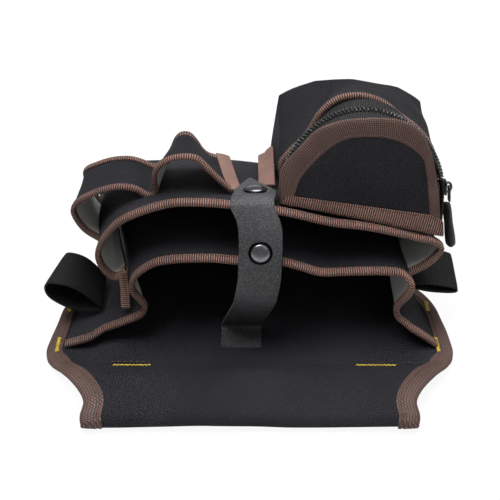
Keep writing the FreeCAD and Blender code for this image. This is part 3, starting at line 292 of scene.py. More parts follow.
def dark_metal(name, lightness, roughness, rim=None):
    """Blackened metal. A turned piece is painted near black from the rim's radius outward, a painted shadow
    of the strap's crease round the cap's edge.
    """
    finish = Finish(name, roughness, Metallic=1.0)
    cloud = finish.speckle(0.004, 3.0, True)
    scratch = finish.speckle(0.0005, 2.0, True)
    tone = shade(tuple(colours().metal), lightness)
    mixed = finish.mix(cloud, shade(tone, 0.85), shade(tone, 1.15))
    if rim:
        # Painted shadow: near black from the rim's radius outward.
        mixed = finish.mix(finish.remap(finish.along, rim, rim + 0.0004), mixed, (0.008, 0.008, 0.009))
    rough = finish.remap(scratch, 0.3, 0.7, roughness * 0.85, roughness * 1.2)
    return finish.paint(mixed, rough, scratch, 0.000004, 0.3)


def ribbed_webbing(name, tone, pitch):
    finish = Finish(name, 0.75, Specular_IOR_Level=0.25)
    ridge = finish.wave(finish.along, pitch)
    beads = finish.wave(finish.across, 0.0012)
    fine = finish.speckle(0.001)
    height = finish.calc("MULTIPLY", ridge, finish.calc("MULTIPLY_ADD", beads, 0.25, 0.75))
    light = finish.calc("MULTIPLY", height, finish.remap(fine, 0.3, 0.7, 0.7, 1.3))
    # Painted shade: the gaps between the ribs are painted darker and the rib tops lighter.
    mixed = finish.mix(light, shade(tone, 0.2), shade(tone, 1.5))
    return finish.paint(mixed, finish.remap(height, 0, 1, 0.85, 0.6), height, 0.00016)


def moulded(name, tone, roughness, grain):
    finish = Finish(name, roughness)
    fine = finish.speckle(grain, 3.0, True)
    cloud = finish.speckle(0.01, 2.0, True)
    mixed = finish.mix(cloud, shade(tone, 0.75), shade(tone, 1.3))
    rough = finish.remap(fine, 0.3, 0.7, roughness * 0.85, roughness * 1.15)
    return finish.paint(mixed, rough, fine, 0.00004)


def twisted_thread(name, tone):
    finish = Finish(name, 0.6, Sheen_Weight=0.1)
    ply = finish.wave(finish.calc("ADD", finish.along, finish.across), 0.0006)
    cloud = finish.speckle(0.002, 2.0, True)
    mixed = finish.mix(finish.calc("MULTIPLY_ADD", ply, 0.5, finish.remap(cloud, 0.3, 0.7, 0.0, 0.5)),
                       shade(tone, 0.55), shade(tone, 1.15))
    return finish.paint(mixed, finish.remap(ply, 0, 1, 0.7, 0.5), ply, 0.0001)


def foam_core():
    finish = Finish("foam_core", 0.95)
    pores = finish.cells(0.0009)
    cloud = finish.speckle(0.01, 2.0, True)
    mixed = finish.mix(finish.calc("MULTIPLY", pores, cloud), (0.018, 0.018, 0.02), (0.10, 0.10, 0.105))
    return finish.paint(mixed, finish.remap(pores, 0, 0.8, 0.85, 0.98), pores, 0.0003)


def mix_finishes():
    """Make every finish once."""
    FINISHES.update(
        cloth=black_oxford("black_oxford", sizes().weave),
        fine_cloth=black_oxford("black_fine_oxford", sizes().weave * 0.8, 0.8),
        coating=coated_back(), tape=binding_tape(), satin=flat_tape("satin_tape", 0.2, 0.0),
        edge=flat_tape("edge_tape", 0.85, 0.65, 0.82), lid_tape=flat_tape("lid_tape", 1.0, 0.0, 1.0),
        strap=strap_leather(), strap_edge=cut_edge(), snap=dark_metal("snap_metal", 1.25, 0.28, 0.0052),
        slider=dark_metal("slider_metal", 0.5, 0.35),
        webbing=ribbed_webbing("ribbed_webbing", tuple(colours().webbing), 0.0016),
        zip_cloth=ribbed_webbing("zip_cloth", (0.017, 0.017, 0.018), 0.0009),
        coil=moulded("coil_nylon", (0.02, 0.02, 0.022), 0.35, 0.0008),
        pull=moulded("pull_plastic", (0.012, 0.012, 0.013), 0.5, 0.0006),
        thread=twisted_thread("bartack_thread", tuple(colours().thread)),
        stitch=twisted_thread("seam_thread", (0.075, 0.034, 0.028)),
        black_stitch=twisted_thread("black_thread", (0.03, 0.03, 0.033)),
        foam=foam_core())


# ---------------------------------------------------------------- lines and surfaces


def smooth_line(points, per_run=8, closed=False, stiff=0.0):
    """A smooth line through the points, with per_run steps from each point to the next."""
    points = np.asarray(points, float)
    if closed:
        padded = np.vstack([points[-1:], points, points[:2]])
    else:
        padded = np.vstack([2 * points[:1] - points[1:2], points, 2 * points[-1:] - points[-2:-1]])
    out = []
    for index in range(len(padded) - 3):
        p0, p1, p2, p3 = padded[index:index + 4]
        t0 = 0.0
        t1 = t0 + max(np.linalg.norm(p1 - p0), 1e-6) ** 0.5
        t2 = t1 + max(np.linalg.norm(p2 - p1), 1e-6) ** 0.5
        t3 = t2 + max(np.linalg.norm(p3 - p2), 1e-6) ** 0.5
        for step in range(per_run):
            t = t1 + (t2 - t1) * step / per_run
            a1 = (t1 - t) / (t1 - t0) * p0 + (t - t0) / (t1 - t0) * p1
            a2 = (t2 - t) / (t2 - t1) * p1 + (t - t1) / (t2 - t1) * p2
            a3 = (t3 - t) / (t3 - t2) * p2 + (t - t2) / (t3 - t2) * p3
            b1 = (t2 - t) / (t2 - t0) * a1 + (t - t0) / (t2 - t0) * a2
            b2 = (t3 - t) / (t3 - t1) * a2 + (t - t1) / (t3 - t1) * a3
            curved = (t2 - t) / (t2 - t1) * b1 + (t - t1) / (t2 - t1) * b2
            straight = p1 + (p2 - p1) * (step / per_run)
            out.append(curved * (1 - stiff) + straight * stiff)
    if not closed:
        out.append(points[-1])
    return np.array(out)


def distances(line):
    return np.concatenate([[0], np.cumsum(np.linalg.norm(np.diff(line[:, :3], axis=0), axis=1))])


def even(line, step):
    """The line's points, with whatever rows carry beside them, moved to an even spacing."""
    along = distances(line)
    count = max(3, int(round(along[-1] / step)) + 1)
    spots = np.linspace(0, along[-1], count)
    return np.stack([np.interp(spots, along, line[:, k]) for k in range(line.shape[1])], axis=1)


def unit(rows):
    return rows / np.maximum(np.linalg.norm(rows, axis=-1, keepdims=True), 1e-9)


def between(values, stations, spot):
    """Smooth interpolation of arrays given at stations."""
    line = smooth_line(np.array([[s, *np.asarray(v, float).ravel()] for s, v in zip(stations, values)]), 24)
    flat = np.array([np.interp(spot, line[:, 0], line[:, k]) for k in range(1, line.shape[1])])
    return flat.reshape(np.asarray(values[0]).shape)


def add_piece(name, vertices, faces, corner_uv, finishes, tags=None):
    """A mesh piece from vertices in millimetres, with cloth coordinates for each face corner."""
    mesh = bpy.data.meshes.new(name)
    mesh.from_pydata((np.asarray(vertices) * MM).tolist(), [], [list(map(int, face)) for face in faces])
    layer = mesh.uv_layers.new(name="Cloth")
    layer.data.foreach_set("uv", (np.asarray(corner_uv, float).reshape(-1, 2) * MM).ravel())
    for finish in finishes:
        mesh.materials.append(FINISHES[finish])
    if tags is not None:
        mesh.polygons.foreach_set("material_index", np.asarray(tags, np.int32))
    work = bmesh.new()
    work.from_mesh(mesh)
    bmesh.ops.recalc_face_normals(work, faces=work.faces)
    work.to_mesh(mesh)
    work.free()
    mesh.polygons.foreach_set("use_smooth", [True] * len(mesh.polygons))
    mesh.set_sharp_from_angle(angle=math.radians(50))
    piece = bpy.data.objects.new(name, mesh)
    bpy.context.scene.collection.objects.link(piece)
    return piece


def surface_normals(grid, closed=False):
    if closed:
        across = np.roll(grid, -1, 1) - np.roll(grid, 1, 1)
    else:
        across = np.gradient(grid, axis=1)
    down = np.gradient(grid, axis=0)
    return unit(np.cross(across, down))


def cloth_coordinates(grid):
    """Distances across and down the cloth, measured on the surface."""
    across = np.concatenate([np.zeros((grid.shape[0], 1)),
                             np.cumsum(np.linalg.norm(np.diff(grid, axis=1), axis=2), axis=1)], axis=1)
    across -= across[:, across.shape[1] // 2:across.shape[1] // 2 + 1]
    down = np.concatenate([np.zeros((1, grid.shape[1])),
                           np.cumsum(np.linalg.norm(np.diff(grid, axis=0), axis=2), axis=0)], axis=0)
    return np.stack([across, down], axis=2)


def shell(name, grid, thickness, finishes, closed=False, uv=None):
    """Cloth of an even thickness whose middle is a grid of points. Its rim takes the last of three finishes,
    and the first when there are fewer.
    """
    rows, columns = grid.shape[:2]
    normals = surface_normals(grid, closed)
    half = np.asarray(thickness) / 2
    vertices = np.concatenate([(grid + normals * half).reshape(-1, 3),
                               (grid - normals * half).reshape(-1, 3)])
    if uv is None:
        uv = cloth_coordinates(grid)
    if closed:
        uv = np.concatenate([uv, uv[:, :1]], axis=1)
    wide = columns if closed else columns - 1
    r, c = np.meshgrid(np.arange(rows - 1), np.arange(wide), indexing="ij")
    r, c = r.ravel(), c.ravel()
    following = (c + 1) % columns
    top = np.stack([r * columns + c, r * columns + following, (r + 1) * columns + following,
                    (r + 1) * columns + c], axis=1)
    top_uv = np.stack([uv[r, c], uv[r, c + 1], uv[r + 1, c + 1], uv[r + 1, c]], axis=1)
    below = rows * columns
    faces = [top, top[:, ::-1] + below]
    corners = [top_uv, top_uv[:, ::-1]]
    rims = []
    edges = [(0, np.arange(wide)), (rows - 1, np.arange(wide))]
    for row, c in edges:
        a, b = row * columns + c, row * columns + (c + 1) % columns
        rims.append((np.stack([a, b, b + below, a + below], axis=1),
                     np.stack([uv[row, c], uv[row, c + 1], uv[row, c + 1], uv[row, c]], axis=1)))
    if not closed:
        for column in (0, columns - 1):
            r = np.arange(rows - 1)
            a, b = r * columns + column, (r + 1) * columns + column
            rims.append((np.stack([a, b, b + below, a + below], axis=1),
                         np.stack([uv[r, column], uv[r + 1, column], uv[r + 1, column], uv[r, column]],
                                  axis=1)))
    for rim, rim_uv in rims:
        faces.append(rim)
        corners.append(rim_uv)
    tags = np.zeros(sum(len(f) for f in faces), int)
    tags[len(top):2 * len(top)] = min(1, len(finishes) - 1)
    tags[2 * len(top):] = len(finishes) - 1 if len(finishes) > 2 else 0
    return add_piece(name, vertices, np.concatenate(faces), np.concatenate(corners), finishes, tags)


def swept(name, path, normals, sides, sections, finish, closed=False, capped=True, stretch=1.0):
    """A piece drawn along a path by a closed section of (side, normal) offsets, one for each point."""
    count, size = sections.shape[:2]
    vertices = (path[:, None, :] + sections[:, :, :1] * sides[:, None, :]
                + sections[:, :, 1:] * normals[:, None, :])
    along = distances(np.vstack([path, path[:1]])) if closed else distances(path)
    ring = np.vstack([sections[count // 2], sections[count // 2][:1]])
    around = np.concatenate([[0], np.cumsum(np.linalg.norm(np.diff(ring, axis=0), axis=1))]) * stretch
    runs = count if closed else count - 1
    r, c = np.meshgrid(np.arange(runs), np.arange(size), indexing="ij")
    r, c = r.ravel(), c.ravel()
    after, beside = (r + 1) % count, (c + 1) % size
    faces = np.stack([r * size + c, r * size + beside, after * size + beside, after * size + c],
                     axis=1).tolist()
    corners = np.stack([np.stack([along[r], around[c]], 1), np.stack([along[r], around[c + 1]], 1),
                        np.stack([along[r + 1], around[c + 1]], 1), np.stack([along[r + 1], around[c]], 1)],
                       axis=1).reshape(-1, 2)
    if capped and not closed:
        for row, order in ((0, range(size)), (count - 1, range(size - 1, -1, -1))):
            faces.append([row * size + c for c in order])
            corners = np.vstack([corners, [[along[row], around[c]] for c in order]])
    return add_piece(name, vertices.reshape(-1, 3), faces, corners, [finish])


def fold_shape(width, skin, groove):
    """A tape folded round an edge: (distance in, share of the half thickness, own inset, rib relief)."""
    outer = [(width, 1, 0.25, 0.3), (width - 0.6, 1, 0.0, 0.8), (width - groove + 0.5, 1, 0.05, 1),
             (width - groove, 1, 0.32, 0.6), (width - groove - 0.6, 1, 0.0, 1)]
    body = width - groove - 0.6
    for share in (0.75, 0.5, 0.3):
        outer.append((body * share + 0.6, 1, -0.12, 1))
    turn = [(0.75, 0.93, 0, 1), (0.22, 0.6, 0, 1), (0, 0, 0, 1), (0.22, -0.6, 0, 1), (0.75, -0.93, 0, 1)]
    mirrored = [(b, -k, inset, rib) for b, k, inset, rib in outer[::-1]]
    inner = [(width, -1, skin + 0.25, 0), (1.6, -1, skin, 0), (skin, 0, 0, 0), (1.6, 1, skin, 0),
             (width, 1, skin + 0.25, 0)]
    return np.array(outer + turn + mirrored + inner)


def binding(name, path, normals, sides, width, thickness, body, node, skin=None, groove=1.5, relief=0.17,
            finish="tape", waver=0.0):
    """Ribbed tape folded over a cloth edge that runs along the path."""
    rib = sizes().rib / MM
    skin = sizes().tape_skin / MM if skin is None else skin
    thickness, width = (np.broadcast_to(np.asarray(value, float), (len(path),))
                        for value in (thickness, width))
    line = even(np.column_stack([path, normals, sides, thickness, width]), rib / 4)
    path, normals, sides = line[:, :3], unit(line[:, 3:6]), unit(line[:, 6:9])
    half, wide = line[:, 9:10] / 2, line[:, 10:11]
    widest = wide.max()
    shape = fold_shape(widest, skin, groove)
    along = distances(path)
    ridge = np.abs(np.sin(np.pi * along / rib))[:, None] ** 1.2
    facing = np.sign(shape[None, :, 1])
    level = facing * (half * np.abs(shape[None, :, 1]) - shape[None, :, 2])
    level += facing * shape[None, :, 3] * relief * (ridge - 0.5)
    ease = np.array([noise.noise(Vector((s * 0.05, widest, half[0, 0] * 2))) for s in along])[:, None] * waver
    reach = shape[None, :, 0] * wide / widest
    edge = np.where(shape[None, :, 0] < 1, relief * (0.5 - ridge), 0)
    sections = np.stack([reach + edge + ease * (1 - reach / wide), level], axis=2)
    piece = swept(name, path, normals, sides, sections, finish)
    dress(piece, body, "brown_tape", *([node] if node else []))
    return piece, line


def seam(name, line, share, lift, body, finish="stitch", step=None, radius=0.27):
    """A row of stitches along a binding, at a share of its width and over one of its faces."""
    step = sizes().stitch / MM if step is None else step
    path, normals, sides, thick, wide = line[:, :3], line[:, 3:6], line[:, 6:9], line[:, 9:10], line[:, 10:11]
    height = thick / 2 * np.sign(lift) + lift - np.sign(lift) * 0.32
    run = np.column_stack([path + sides * wide * share + normals * height, normals])
    stitches(name, even(run, step / 2), radius, body, finish, np.sign(lift))


def stitches(name, run, radius, body, finish, facing=1):
    """Short threads between every second pair of points, each dipping into the cloth at its ends."""
    vertices, faces, corners = [], [], []
    for index in range(0, len(run) - 1, 2):
        start, end, up = run[index, :3], run[index + 1, :3], unit(run[index, 3:6]) * facing
        side = unit(np.cross(end - start, up))
        base = len(vertices)
        for share, sink, size in ((-0.28, -1.2, 0.4), (-0.12, 0.1, 0.95), (0.5, 0.45, 1.0), (1.12, 0.1, 0.95),
                                  (1.28, -1.2, 0.4)):
            centre = start + (end - start) * share + up * radius * sink
            for corner in range(6):
                angle = corner * math.pi / 3
                vertices.append(centre + (side * math.cos(angle) + up * math.sin(angle)) * radius * size)
        for ring in range(4):
            for corner in range(6):
                a, b = base + ring * 6 + corner, base + ring * 6 + (corner + 1) % 6
                faces.append([a, b, b + 6, a + 6])
                corners += [[ring, corner], [ring, corner + 1], [ring + 1, corner + 1], [ring + 1, corner]]
        faces += [[base + 5 - k for k in range(6)], [base + 24 + k for k in range(6)]]
        corners += [[0, 0]] * 12
    piece = add_piece(name, vertices, faces, np.array(corners) * 0.4, [finish])
    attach(piece, body)
    return piece


def tube(name, path, radius, sides_count, body, finish, slot, node=(), closed=False, flat=1.0):
    """Round wire or thread along a path in millimetres."""
    path = np.asarray(path, float)
    if closed:
        tangent = unit(np.roll(path, -1, 0) - np.roll(path, 1, 0))
    else:
        tangent = unit(np.gradient(path, axis=0))
    guide = np.array([0.31, 0.87, 0.38])
    normals = []
    for direction in tangent:
        guide = unit(guide - direction * np.dot(guide, direction))
        normals.append(guide)
    normals = np.array(normals)
    sides = np.cross(tangent, normals)
    angle = np.linspace(0, 2 * math.pi, sides_count, endpoint=False)
    ring = np.stack([np.cos(angle) * radius * flat, np.sin(angle) * radius], axis=1)
    sections = np.broadcast_to(ring, (len(path), sides_count, 2))
    piece = swept(name, path, normals, sides, sections, finish, closed=closed)
    return dress(piece, body, slot, *([node] if isinstance(node, str) else node))


def dress(piece, body, slot, *nodes):
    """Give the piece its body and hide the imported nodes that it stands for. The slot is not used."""
    if nodes:
        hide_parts(*nodes)
    if body:
        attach(piece, body)
    return piece


def turned(name, profile, place, facing, body, finish, slot, *nodes):
    """A round piece from its section, given as (radius, height) from the middle outward."""
    profile = smooth_line(profile, 3)
    count = 40
    angle = np.linspace(0, 2 * math.pi, count, endpoint=False)
    turn = Vector((0, 0, 1)).rotation_difference(Vector(facing)).to_matrix()
    vertices = [[0, 0, profile[0][1]]]
    for radius, height in profile[1:]:
        vertices += [[radius * math.cos(a), radius * math.sin(a), height] for a in angle]
    vertices = np.array([turn @ Vector(v) for v in vertices]) + np.array(place)
    faces = [[0, 1 + k, 1 + (k + 1) % count] for k in range(count)]
    for ring in range(len(profile) - 2):
        for k in range(count):
            a, b = 1 + ring * count + k, 1 + ring * count + (k + 1) % count
            faces.append([a, a + count, b + count, b])
    last = 1 + (len(profile) - 2) * count
    faces.append([last + k for k in range(count)])
    middle = np.array(place)
    corners = [[float(np.linalg.norm(vertices[v] - middle)), 0.0] for face in faces for v in face]
    return dress(add_piece(name, vertices, faces, corners, [finish]), body, slot, *nodes)


def ripple(grid, size, height, seed, normals=None):
    """Let the cloth wander a little off its pattern."""
    normals = surface_normals(grid) if normals is None else normals
    wander = np.array([[noise.noise(Vector(spot) / size + Vector((seed, 0, 0))) for spot in row]
                       for row in grid])
    return grid + normals * wander[:, :, None] * height


# ---------------------------------------------------------------- back panel

FLARE = [(95.2, 0), (96.4, 2.5), (96.7, 6), (96.1, 10), (96, 14), (100.9, 24.2), (111.1, 37.8), (120.9, 50.2),
         (125, 60.8), (124.5, 73.2), (122.5, 88), (120.5, 101), (116, 113), (108.5, 126), (103.5, 150),
         (101, 200), (98, 218.2), (88, 226)]
FLARE_LINE = smooth_line(FLARE, 10)
TUNNEL = [(226, 4.5), (150, 4.5), (90, 4.5), (60, 4.5), (50.5, 4.9), (44, 7.6), (36.5, 10.2), (28, 11.1),
          (19, 11.0), (11, 9.9), (4.6, 7.6), (1.4, 4.4), (4.2, 1.6), (10, 1.3), (30, 1.3), (49, 1.3)]


def half_width(y):
    return np.interp(y, FLARE_LINE[:, 1], FLARE_LINE[:, 0])


def belt_wave(x, y):
    """The belt edge lifts a little off the floor in two places."""
    near = np.clip(1 - y / 45, 0, 1) ** 1.5
    lift = 1.5 * np.exp(-((x + 24) / 34) ** 2) + 0.9 * np.exp(-((x - 82) / 22) ** 2)
    return near * lift


def tuck(y, z):
    """The tunnel's lower layer is cut narrower than its upper one where the belt edge flares."""
    return 6.0 * math.sin(math.pi * min(max((y - 10) / 50, 0), 1)) if z < 3 else 0.0


def panel_sheet(profile, columns=49, inset=1.2):
    grid = []
    for y, z in profile:
        half = float(half_width(min(max(y, 0), 225.5))) - inset - tuck(y, z)
        xs = np.linspace(-half, half, columns)
        grid.append(np.stack([xs, np.full(columns, y + BELT_EDGE), z + belt_wave(xs, y)], axis=1))
    return np.array(grid)


def make_back_panel():
    cloth = sizes().cloth / MM
    profile = smooth_line(TUNNEL, 6)
    profile[:, 0] = np.clip(profile[:, 0], 1.2, 225)
    grid = panel_sheet(even(profile, 4.0))[::-1]
    face = shell("panel_face", ripple(grid, 26, 0.35, 3), cloth, ["cloth", "coating"])
    dress(face, "pouch", "black_cloth", "back_panel_face")
    flat = np.stack([np.linspace(52, 224.5, 30), np.full(30, 2.9)], axis=1)
    foam = shell("panel_foam", panel_sheet(flat, 33, 3.0), 1.9, ["foam"])
    dress(foam, "pouch", "foam", "back_panel_foam")
    flat = np.stack([np.linspace(49.5, 225, 36), np.full(36, 1.3)], axis=1)
    lining = shell("panel_lining", panel_sheet(flat, 41, 1.2), cloth, ["cloth", "coating"])
    dress(lining, "pouch", "black_cloth", "back_panel_lining")


def edge_path():
    """The panel's edge from under the right of the belt tunnel, round its foot, to under the left."""
    fold = smooth_line(TUNNEL[4:], 8)[::-1]
    tangent = unit(np.gradient(fold, axis=0))
    rows = []
    for (y, z), (ty, tz) in zip(fold, tangent):
        y = max(y, 1.3)
        rows.append((half_width(y) - tuck(y, z), y, z + float(belt_wave(float(half_width(y)), y)),
                     0, -tz, ty, 2.6))
    rows = rows[:-4]
    for x, y in FLARE_LINE[FLARE_LINE[:, 1] > 54]:
        share = min(1.0, (y - 50) / 7)
        thick = 2.6 + 3.2 * share
        rows.append((x, y, 5.8 - thick / 2, 0, 0, 1, thick))
    for x in (84, 70, 50, 25, 0):
        rows.append((x, 226, 2.9, 0, 0, 1, 5.8))
    right = np.array(rows, float)
    left = right[::-1][1:] * np.array([-1, 1, 1, -1, 1, 1, 1])
    whole = np.vstack([right, left])
    path = whole[:, :3] + np.array([0, BELT_EDGE, 0])
    normals = unit(whole[:, 3:6])
    tangent = unit(np.gradient(path, axis=0))
    sides = unit(np.cross(normals, tangent))
    return path, normals, sides, whole[:, 6]


def make_edge_tape():
    path, normals, sides, thick = edge_path()
    depth = path[:, 1] - BELT_EDGE
    width = np.interp(depth, (0, 45, 62, 75, 95, 226), (12, 12, 9.5, 9.2, 8, 8))
    width = np.where(np.abs(normals[:, 1]) > 0.05, 12.0, width)
    piece, line = binding("edge_binding", path, normals, sides, width, thick, "pouch", "edge_tape", skin=0.7,
                          groove=2.4, relief=0.05, waver=0.5, finish="edge")
    seam("edge_seam_front", line, 0.68, 0.34, "pouch", "black_stitch")
    seam("edge_seam_back", line, 0.68, -0.05, "pouch")


# ---------------------------------------------------------------- pockets

MAIN_MOUTH = [(-113.6, 6.6), (-100.6, 11.2), (-86, 15.9), (-74, 21.5), (-66, 26.5), (-63.8, 32.4),
              (-66.6, 38.5), (-69.9, 44), (-70.4, 50), (-68.2, 55.9), (-62.4, 61.7), (-54.9, 66.3),
              (-44, 68.6), (-33.2, 69.2), (-19.8, 69.2), (-8.2, 67.8), (18.8, 66.7), (30.1, 63.1),
              (41.6, 58.9), (52.9, 58.9), (66.1, 59.5), (80.3, 59.5), (90.9, 57.7), (95.5, 53.4),
              (94.8, 45.9), (91.7, 38.3), (89, 31.3), (90.6, 24.2), (95.1, 21.9), (104.7, 15), (114.6, 6.7)]
MAIN_FOOT = ((0, -96), (5, -94.5), (9, -93), (12, -80), (15, -5), (18, 40), (22, 84), (23, 92), (26, 94),
             (30, 96))
SECOND_MOUTH = [(-75, 52), (-78, 47.5), (-82.2, 46), (-86.7, 49.6), (-89.8, 55.9), (-90.8, 63), (-88.4, 71.1),
                (-84.2, 78.1), (-76.4, 86.8), (-66.7, 92.6), (-55.5, 97.4), (-43.8, 100.2), (-32.2, 100.7),
                (-20.7, 100.2), (-9.2, 98.8), (20, 94.1), (46.8, 86.8), (65.7, 83.9), (84.8, 79.6),
                (99.2, 75.6), (108.9, 72.9), (113.7, 68.1), (111.1, 61.5), (105.1, 54.7), (96.2, 48.6)]
SECOND_FOOT = ((0, -94), (5, -103), (7, -99), (10, -84), (12, -35), (14, -5), (15, 20), (19, 84), (21, 99),
               (22, 103), (24, 91.5))
RUN = 4


def pocket_profiles(mouth, foot, middle_reach, foot_reach, seam_levels):
    """The pocket's outline at its mouth, its middle and its foot."""
    mouth = np.array(mouth, float)
    along = distances(mouth)
    marks, spots = np.array(foot, float).T
    foot_x = np.interp(along, along[marks.astype(int)], spots)
    outlines = [mouth]
    for share, reach in ((0.85, middle_reach), (1.0, foot_reach)):
        x = (1 - share) * mouth[:, 0] + share * foot_x
        z = PANEL_TOP + reach * (mouth[:, 1] - PANEL_TOP)
        if seam_levels is None:
            z[0] = z[-1] = mouth[0, 1]
        else:
            z[0], z[-1] = seam_levels[0 if share < 1 else 1]
        outlines.append(np.stack([x, z], axis=1))
    return [smooth_line(outline, RUN) for outline in outlines]


def tucked(x):
    """Which columns lie folded back under the others at the foot, from 0 to 1."""
    order = np.arange(len(x))
    beyond = np.maximum(int(np.argmin(x)) - order, order - int(np.argmax(x)))
    return np.clip(beyond / 3, 0, 1)


def pocket_grid(profiles, start, rows, seed, sag, forward=0.0):
    """The pocket's cloth from its mouth to its foot, where it turns down to the panel."""
    stations = (start, 172, 207)
    grid = []
    for y in np.linspace(start, 207, rows):
        outline = between(profiles, stations, y)
        reach = forward * wing(profiles[0][:, 0]) * (207 - y) / (207 - start)
        grid.append(np.stack([outline[:, 0], y - reach + BELT_EDGE, outline[:, 1]], axis=1))
    last = grid[-1]
    for drop, reach in ((0.04, 2.4), (0.15, 4.4), (0.35, 5.2), (0.62, 5.4), (0.86, 5.0), (1.0, 4.6)):
        row = last.copy()
        row[:, 1] += reach * (1 - 0.8 * tucked(last[:, 0]))
        row[:, 2] = last[:, 2] + drop * (PANEL_TOP + 0.9 - last[:, 2])
        grid.append(row)
    grid = np.array(grid)
    normals = surface_normals(grid)
    depth = np.linspace(0, 1, len(grid))[:, None]
    belly = np.sin(np.pi * np.clip(depth * 1.15, 0, 1)) * sag
    grid = grid + normals * (belly * np.abs(normals[:, :, 2]) ** 2)[:, :, None]
    settled = ripple(grid, 34, 1.3, seed, normals)
    share = np.clip(depth * 6, 0, 1)[:, :, None]
    return grid * (1 - share) + settled * share


def wing(x):
    """How far along its sloping ends the main pocket's mouth is, from 0 to 1."""
    share = np.clip((np.abs(x) - 88) / 12, 0, 1)
    return share * share * (3 - 2 * share)


def mouth_line(profile, y, forward=0.0):
    """Path, normals and sides of the tape over a pocket's mouth."""
    depth = y - forward * wing(profile[:, 0]) + BELT_EDGE
    path = np.stack([profile[:, 0], depth, profile[:, 1]], axis=1)
    tangent = unit(np.gradient(path, axis=0))
    normals = unit(np.stack([-tangent[:, 2], np.zeros(len(path)), tangent[:, 0]], axis=1))
    sides = np.tile([0.0, 1.0, 0.0], (len(path), 1))
    return path, normals, sides


def make_main_pocket():
    cloth = sizes().cloth / MM
    profiles = pocket_profiles(MAIN_MOUTH, MAIN_FOOT, 0.68, 0.27, None)
    grid = pocket_grid(profiles, 73, 34, 11, 0.6, 6.0)
    for name, node, first, last, flat in (
            ("main_front_cloth", "main_pocket_front", 9, 23, (0.205, 0.165)),
            ("main_gusset_cloth_left", "main_gusset_left", 0, 9, (0.085, 0.15)),
            ("main_gusset_cloth_right", "main_gusset_right", 23, 30, (0.062, 0.15))):
        part = grid[:, first * RUN:last * RUN + 1]
        piece = shell(name, part, cloth, ["cloth", "coating"])
        dress(piece, "pouch", "black_cloth", node)
    piece, line = binding("main_mouth_binding", *mouth_line(profiles[0], 70, 6.0), sizes().lip_width / MM,
                          sizes().lip_thickness / MM, "pouch", "main_pocket_lip", waver=0.5)
    seam("main_mouth_seam", line, 0.73, 0.05, "pouch")


def make_second_pocket():
    cloth = sizes().cloth / MM
    profiles = pocket_profiles(SECOND_MOUTH, SECOND_FOOT, 0.715, 0.36, ((37.4, 34.7), (16.1, 15.0)))
    grid = pocket_grid(profiles, 85, 32, 5, -0.8)
    for name, node, first, last, flat in (
            ("second_front_cloth", "second_pocket_front", 7, 21, (0.225, 0.17)),
            ("second_gusset_cloth_left", "second_gusset_left", 0, 7, (0.045, 0.15)),
            ("second_gusset_cloth_right", "second_gusset_right", 21, 24, (0.035, 0.15))):
        part = grid[:, first * RUN:last * RUN + 1]
        piece = shell(name, part, cloth, ["cloth", "coating"])
        dress(piece, "pouch", "black_cloth", node)
    piece, line = binding("second_mouth_binding", *mouth_line(profiles[0], 82), sizes().lip_width / MM,
                          sizes().lip_thickness / MM, "pouch", "second_pocket_lip", waver=0.5)
    seam("second_mouth_seam", line, 0.73, 0.05, "pouch")
    tail = [(-79.4, 82.5, 51.5), (-79.5, 83, 44), (-79.2, 82, 37), (-79.4, 80.5, 31), (-79.2, 78.5, 26.5)]
    path = smooth_line(np.array(tail) + np.array([0, BELT_EDGE, 0]), 5)
    facing = np.tile(unit(np.array([0.12, -1.0, 0.15])), (len(path), 1))
    beside = np.tile([1.0, 0.0, 0.0], (len(path), 1))
    binding("seam_tail", path, facing, beside, 5.5, 2.6, "pouch", "seam_tape_end")


# ---------------------------------------------------------------- tool loops

BAND_Y, BAND_REACH, BAND_SLOPE = 102, 48.5, math.tan(math.radians(13.5))
BAND_NEAR = [(-92.3, 60.3), (-100.6, 67.4), (-105.3, 76.2), (-106.3, 82.2), (-103.2, 88.1), (-95.5, 92.9),
             (-86.4, 96.8), (-76.8, 98.7), (-68.1, 97.3), (-62.1, 93.3), (-58.2, 92.4), (-55.6, 95.6),
             (-56.3, 102.5), (-55.5, 109.1), (-52.1, 114.7), (-45.7, 118.4), (-37.9, 119.7), (-30.9, 118.4),
             (-24.9, 111.9), (-18.8, 104.4), (-13.4, 98.7), (-9.4, 94.9)]
BAND_FAR = [(-95, 53), (-98.5, 58.5), (-101.5, 66), (-103.5, 73.5), (-104.4, 80.8), (-96.5, 85.4),
            (-86.2, 88.9), (-75.1, 89.4), (-67.7, 86.9), (-63.5, 84.5), (-60.3, 83.8), (-53, 86.8),
            (-49.5, 93.6), (-47, 101.2), (-45, 105), (-42.5, 107.1), (-38.1, 107.1), (-34.1, 102.7),
            (-30.1, 95.9), (-26.5, 92.6), (-20, 90.2), (-15.1, 88.9)]


def band_line(share):
    """The band's middle line at a share of its width from its near edge."""
    near, far = np.array(BAND_NEAR), np.array(BAND_FAR)
    drop = np.array([0, BAND_REACH * BAND_SLOPE])
    level = near * (1 - share) + (far + drop) * share - drop * share
    line = smooth_line(level, 5)
    y = BAND_Y + share * BAND_REACH + BELT_EDGE
    return np.stack([line[:, 0], np.full(len(line), y), line[:, 1]], axis=1)


def band_frame(share, inward):
    path = band_line(share)
    tangent = unit(np.gradient(path, axis=0))
    side = unit(np.array([[0, 1.0, -BAND_SLOPE]])) * inward
    normals = unit(np.cross(tangent, np.broadcast_to([0, 1.0, -BAND_SLOPE], path.shape)))
    return path, normals, np.broadcast_to(side, path.shape)


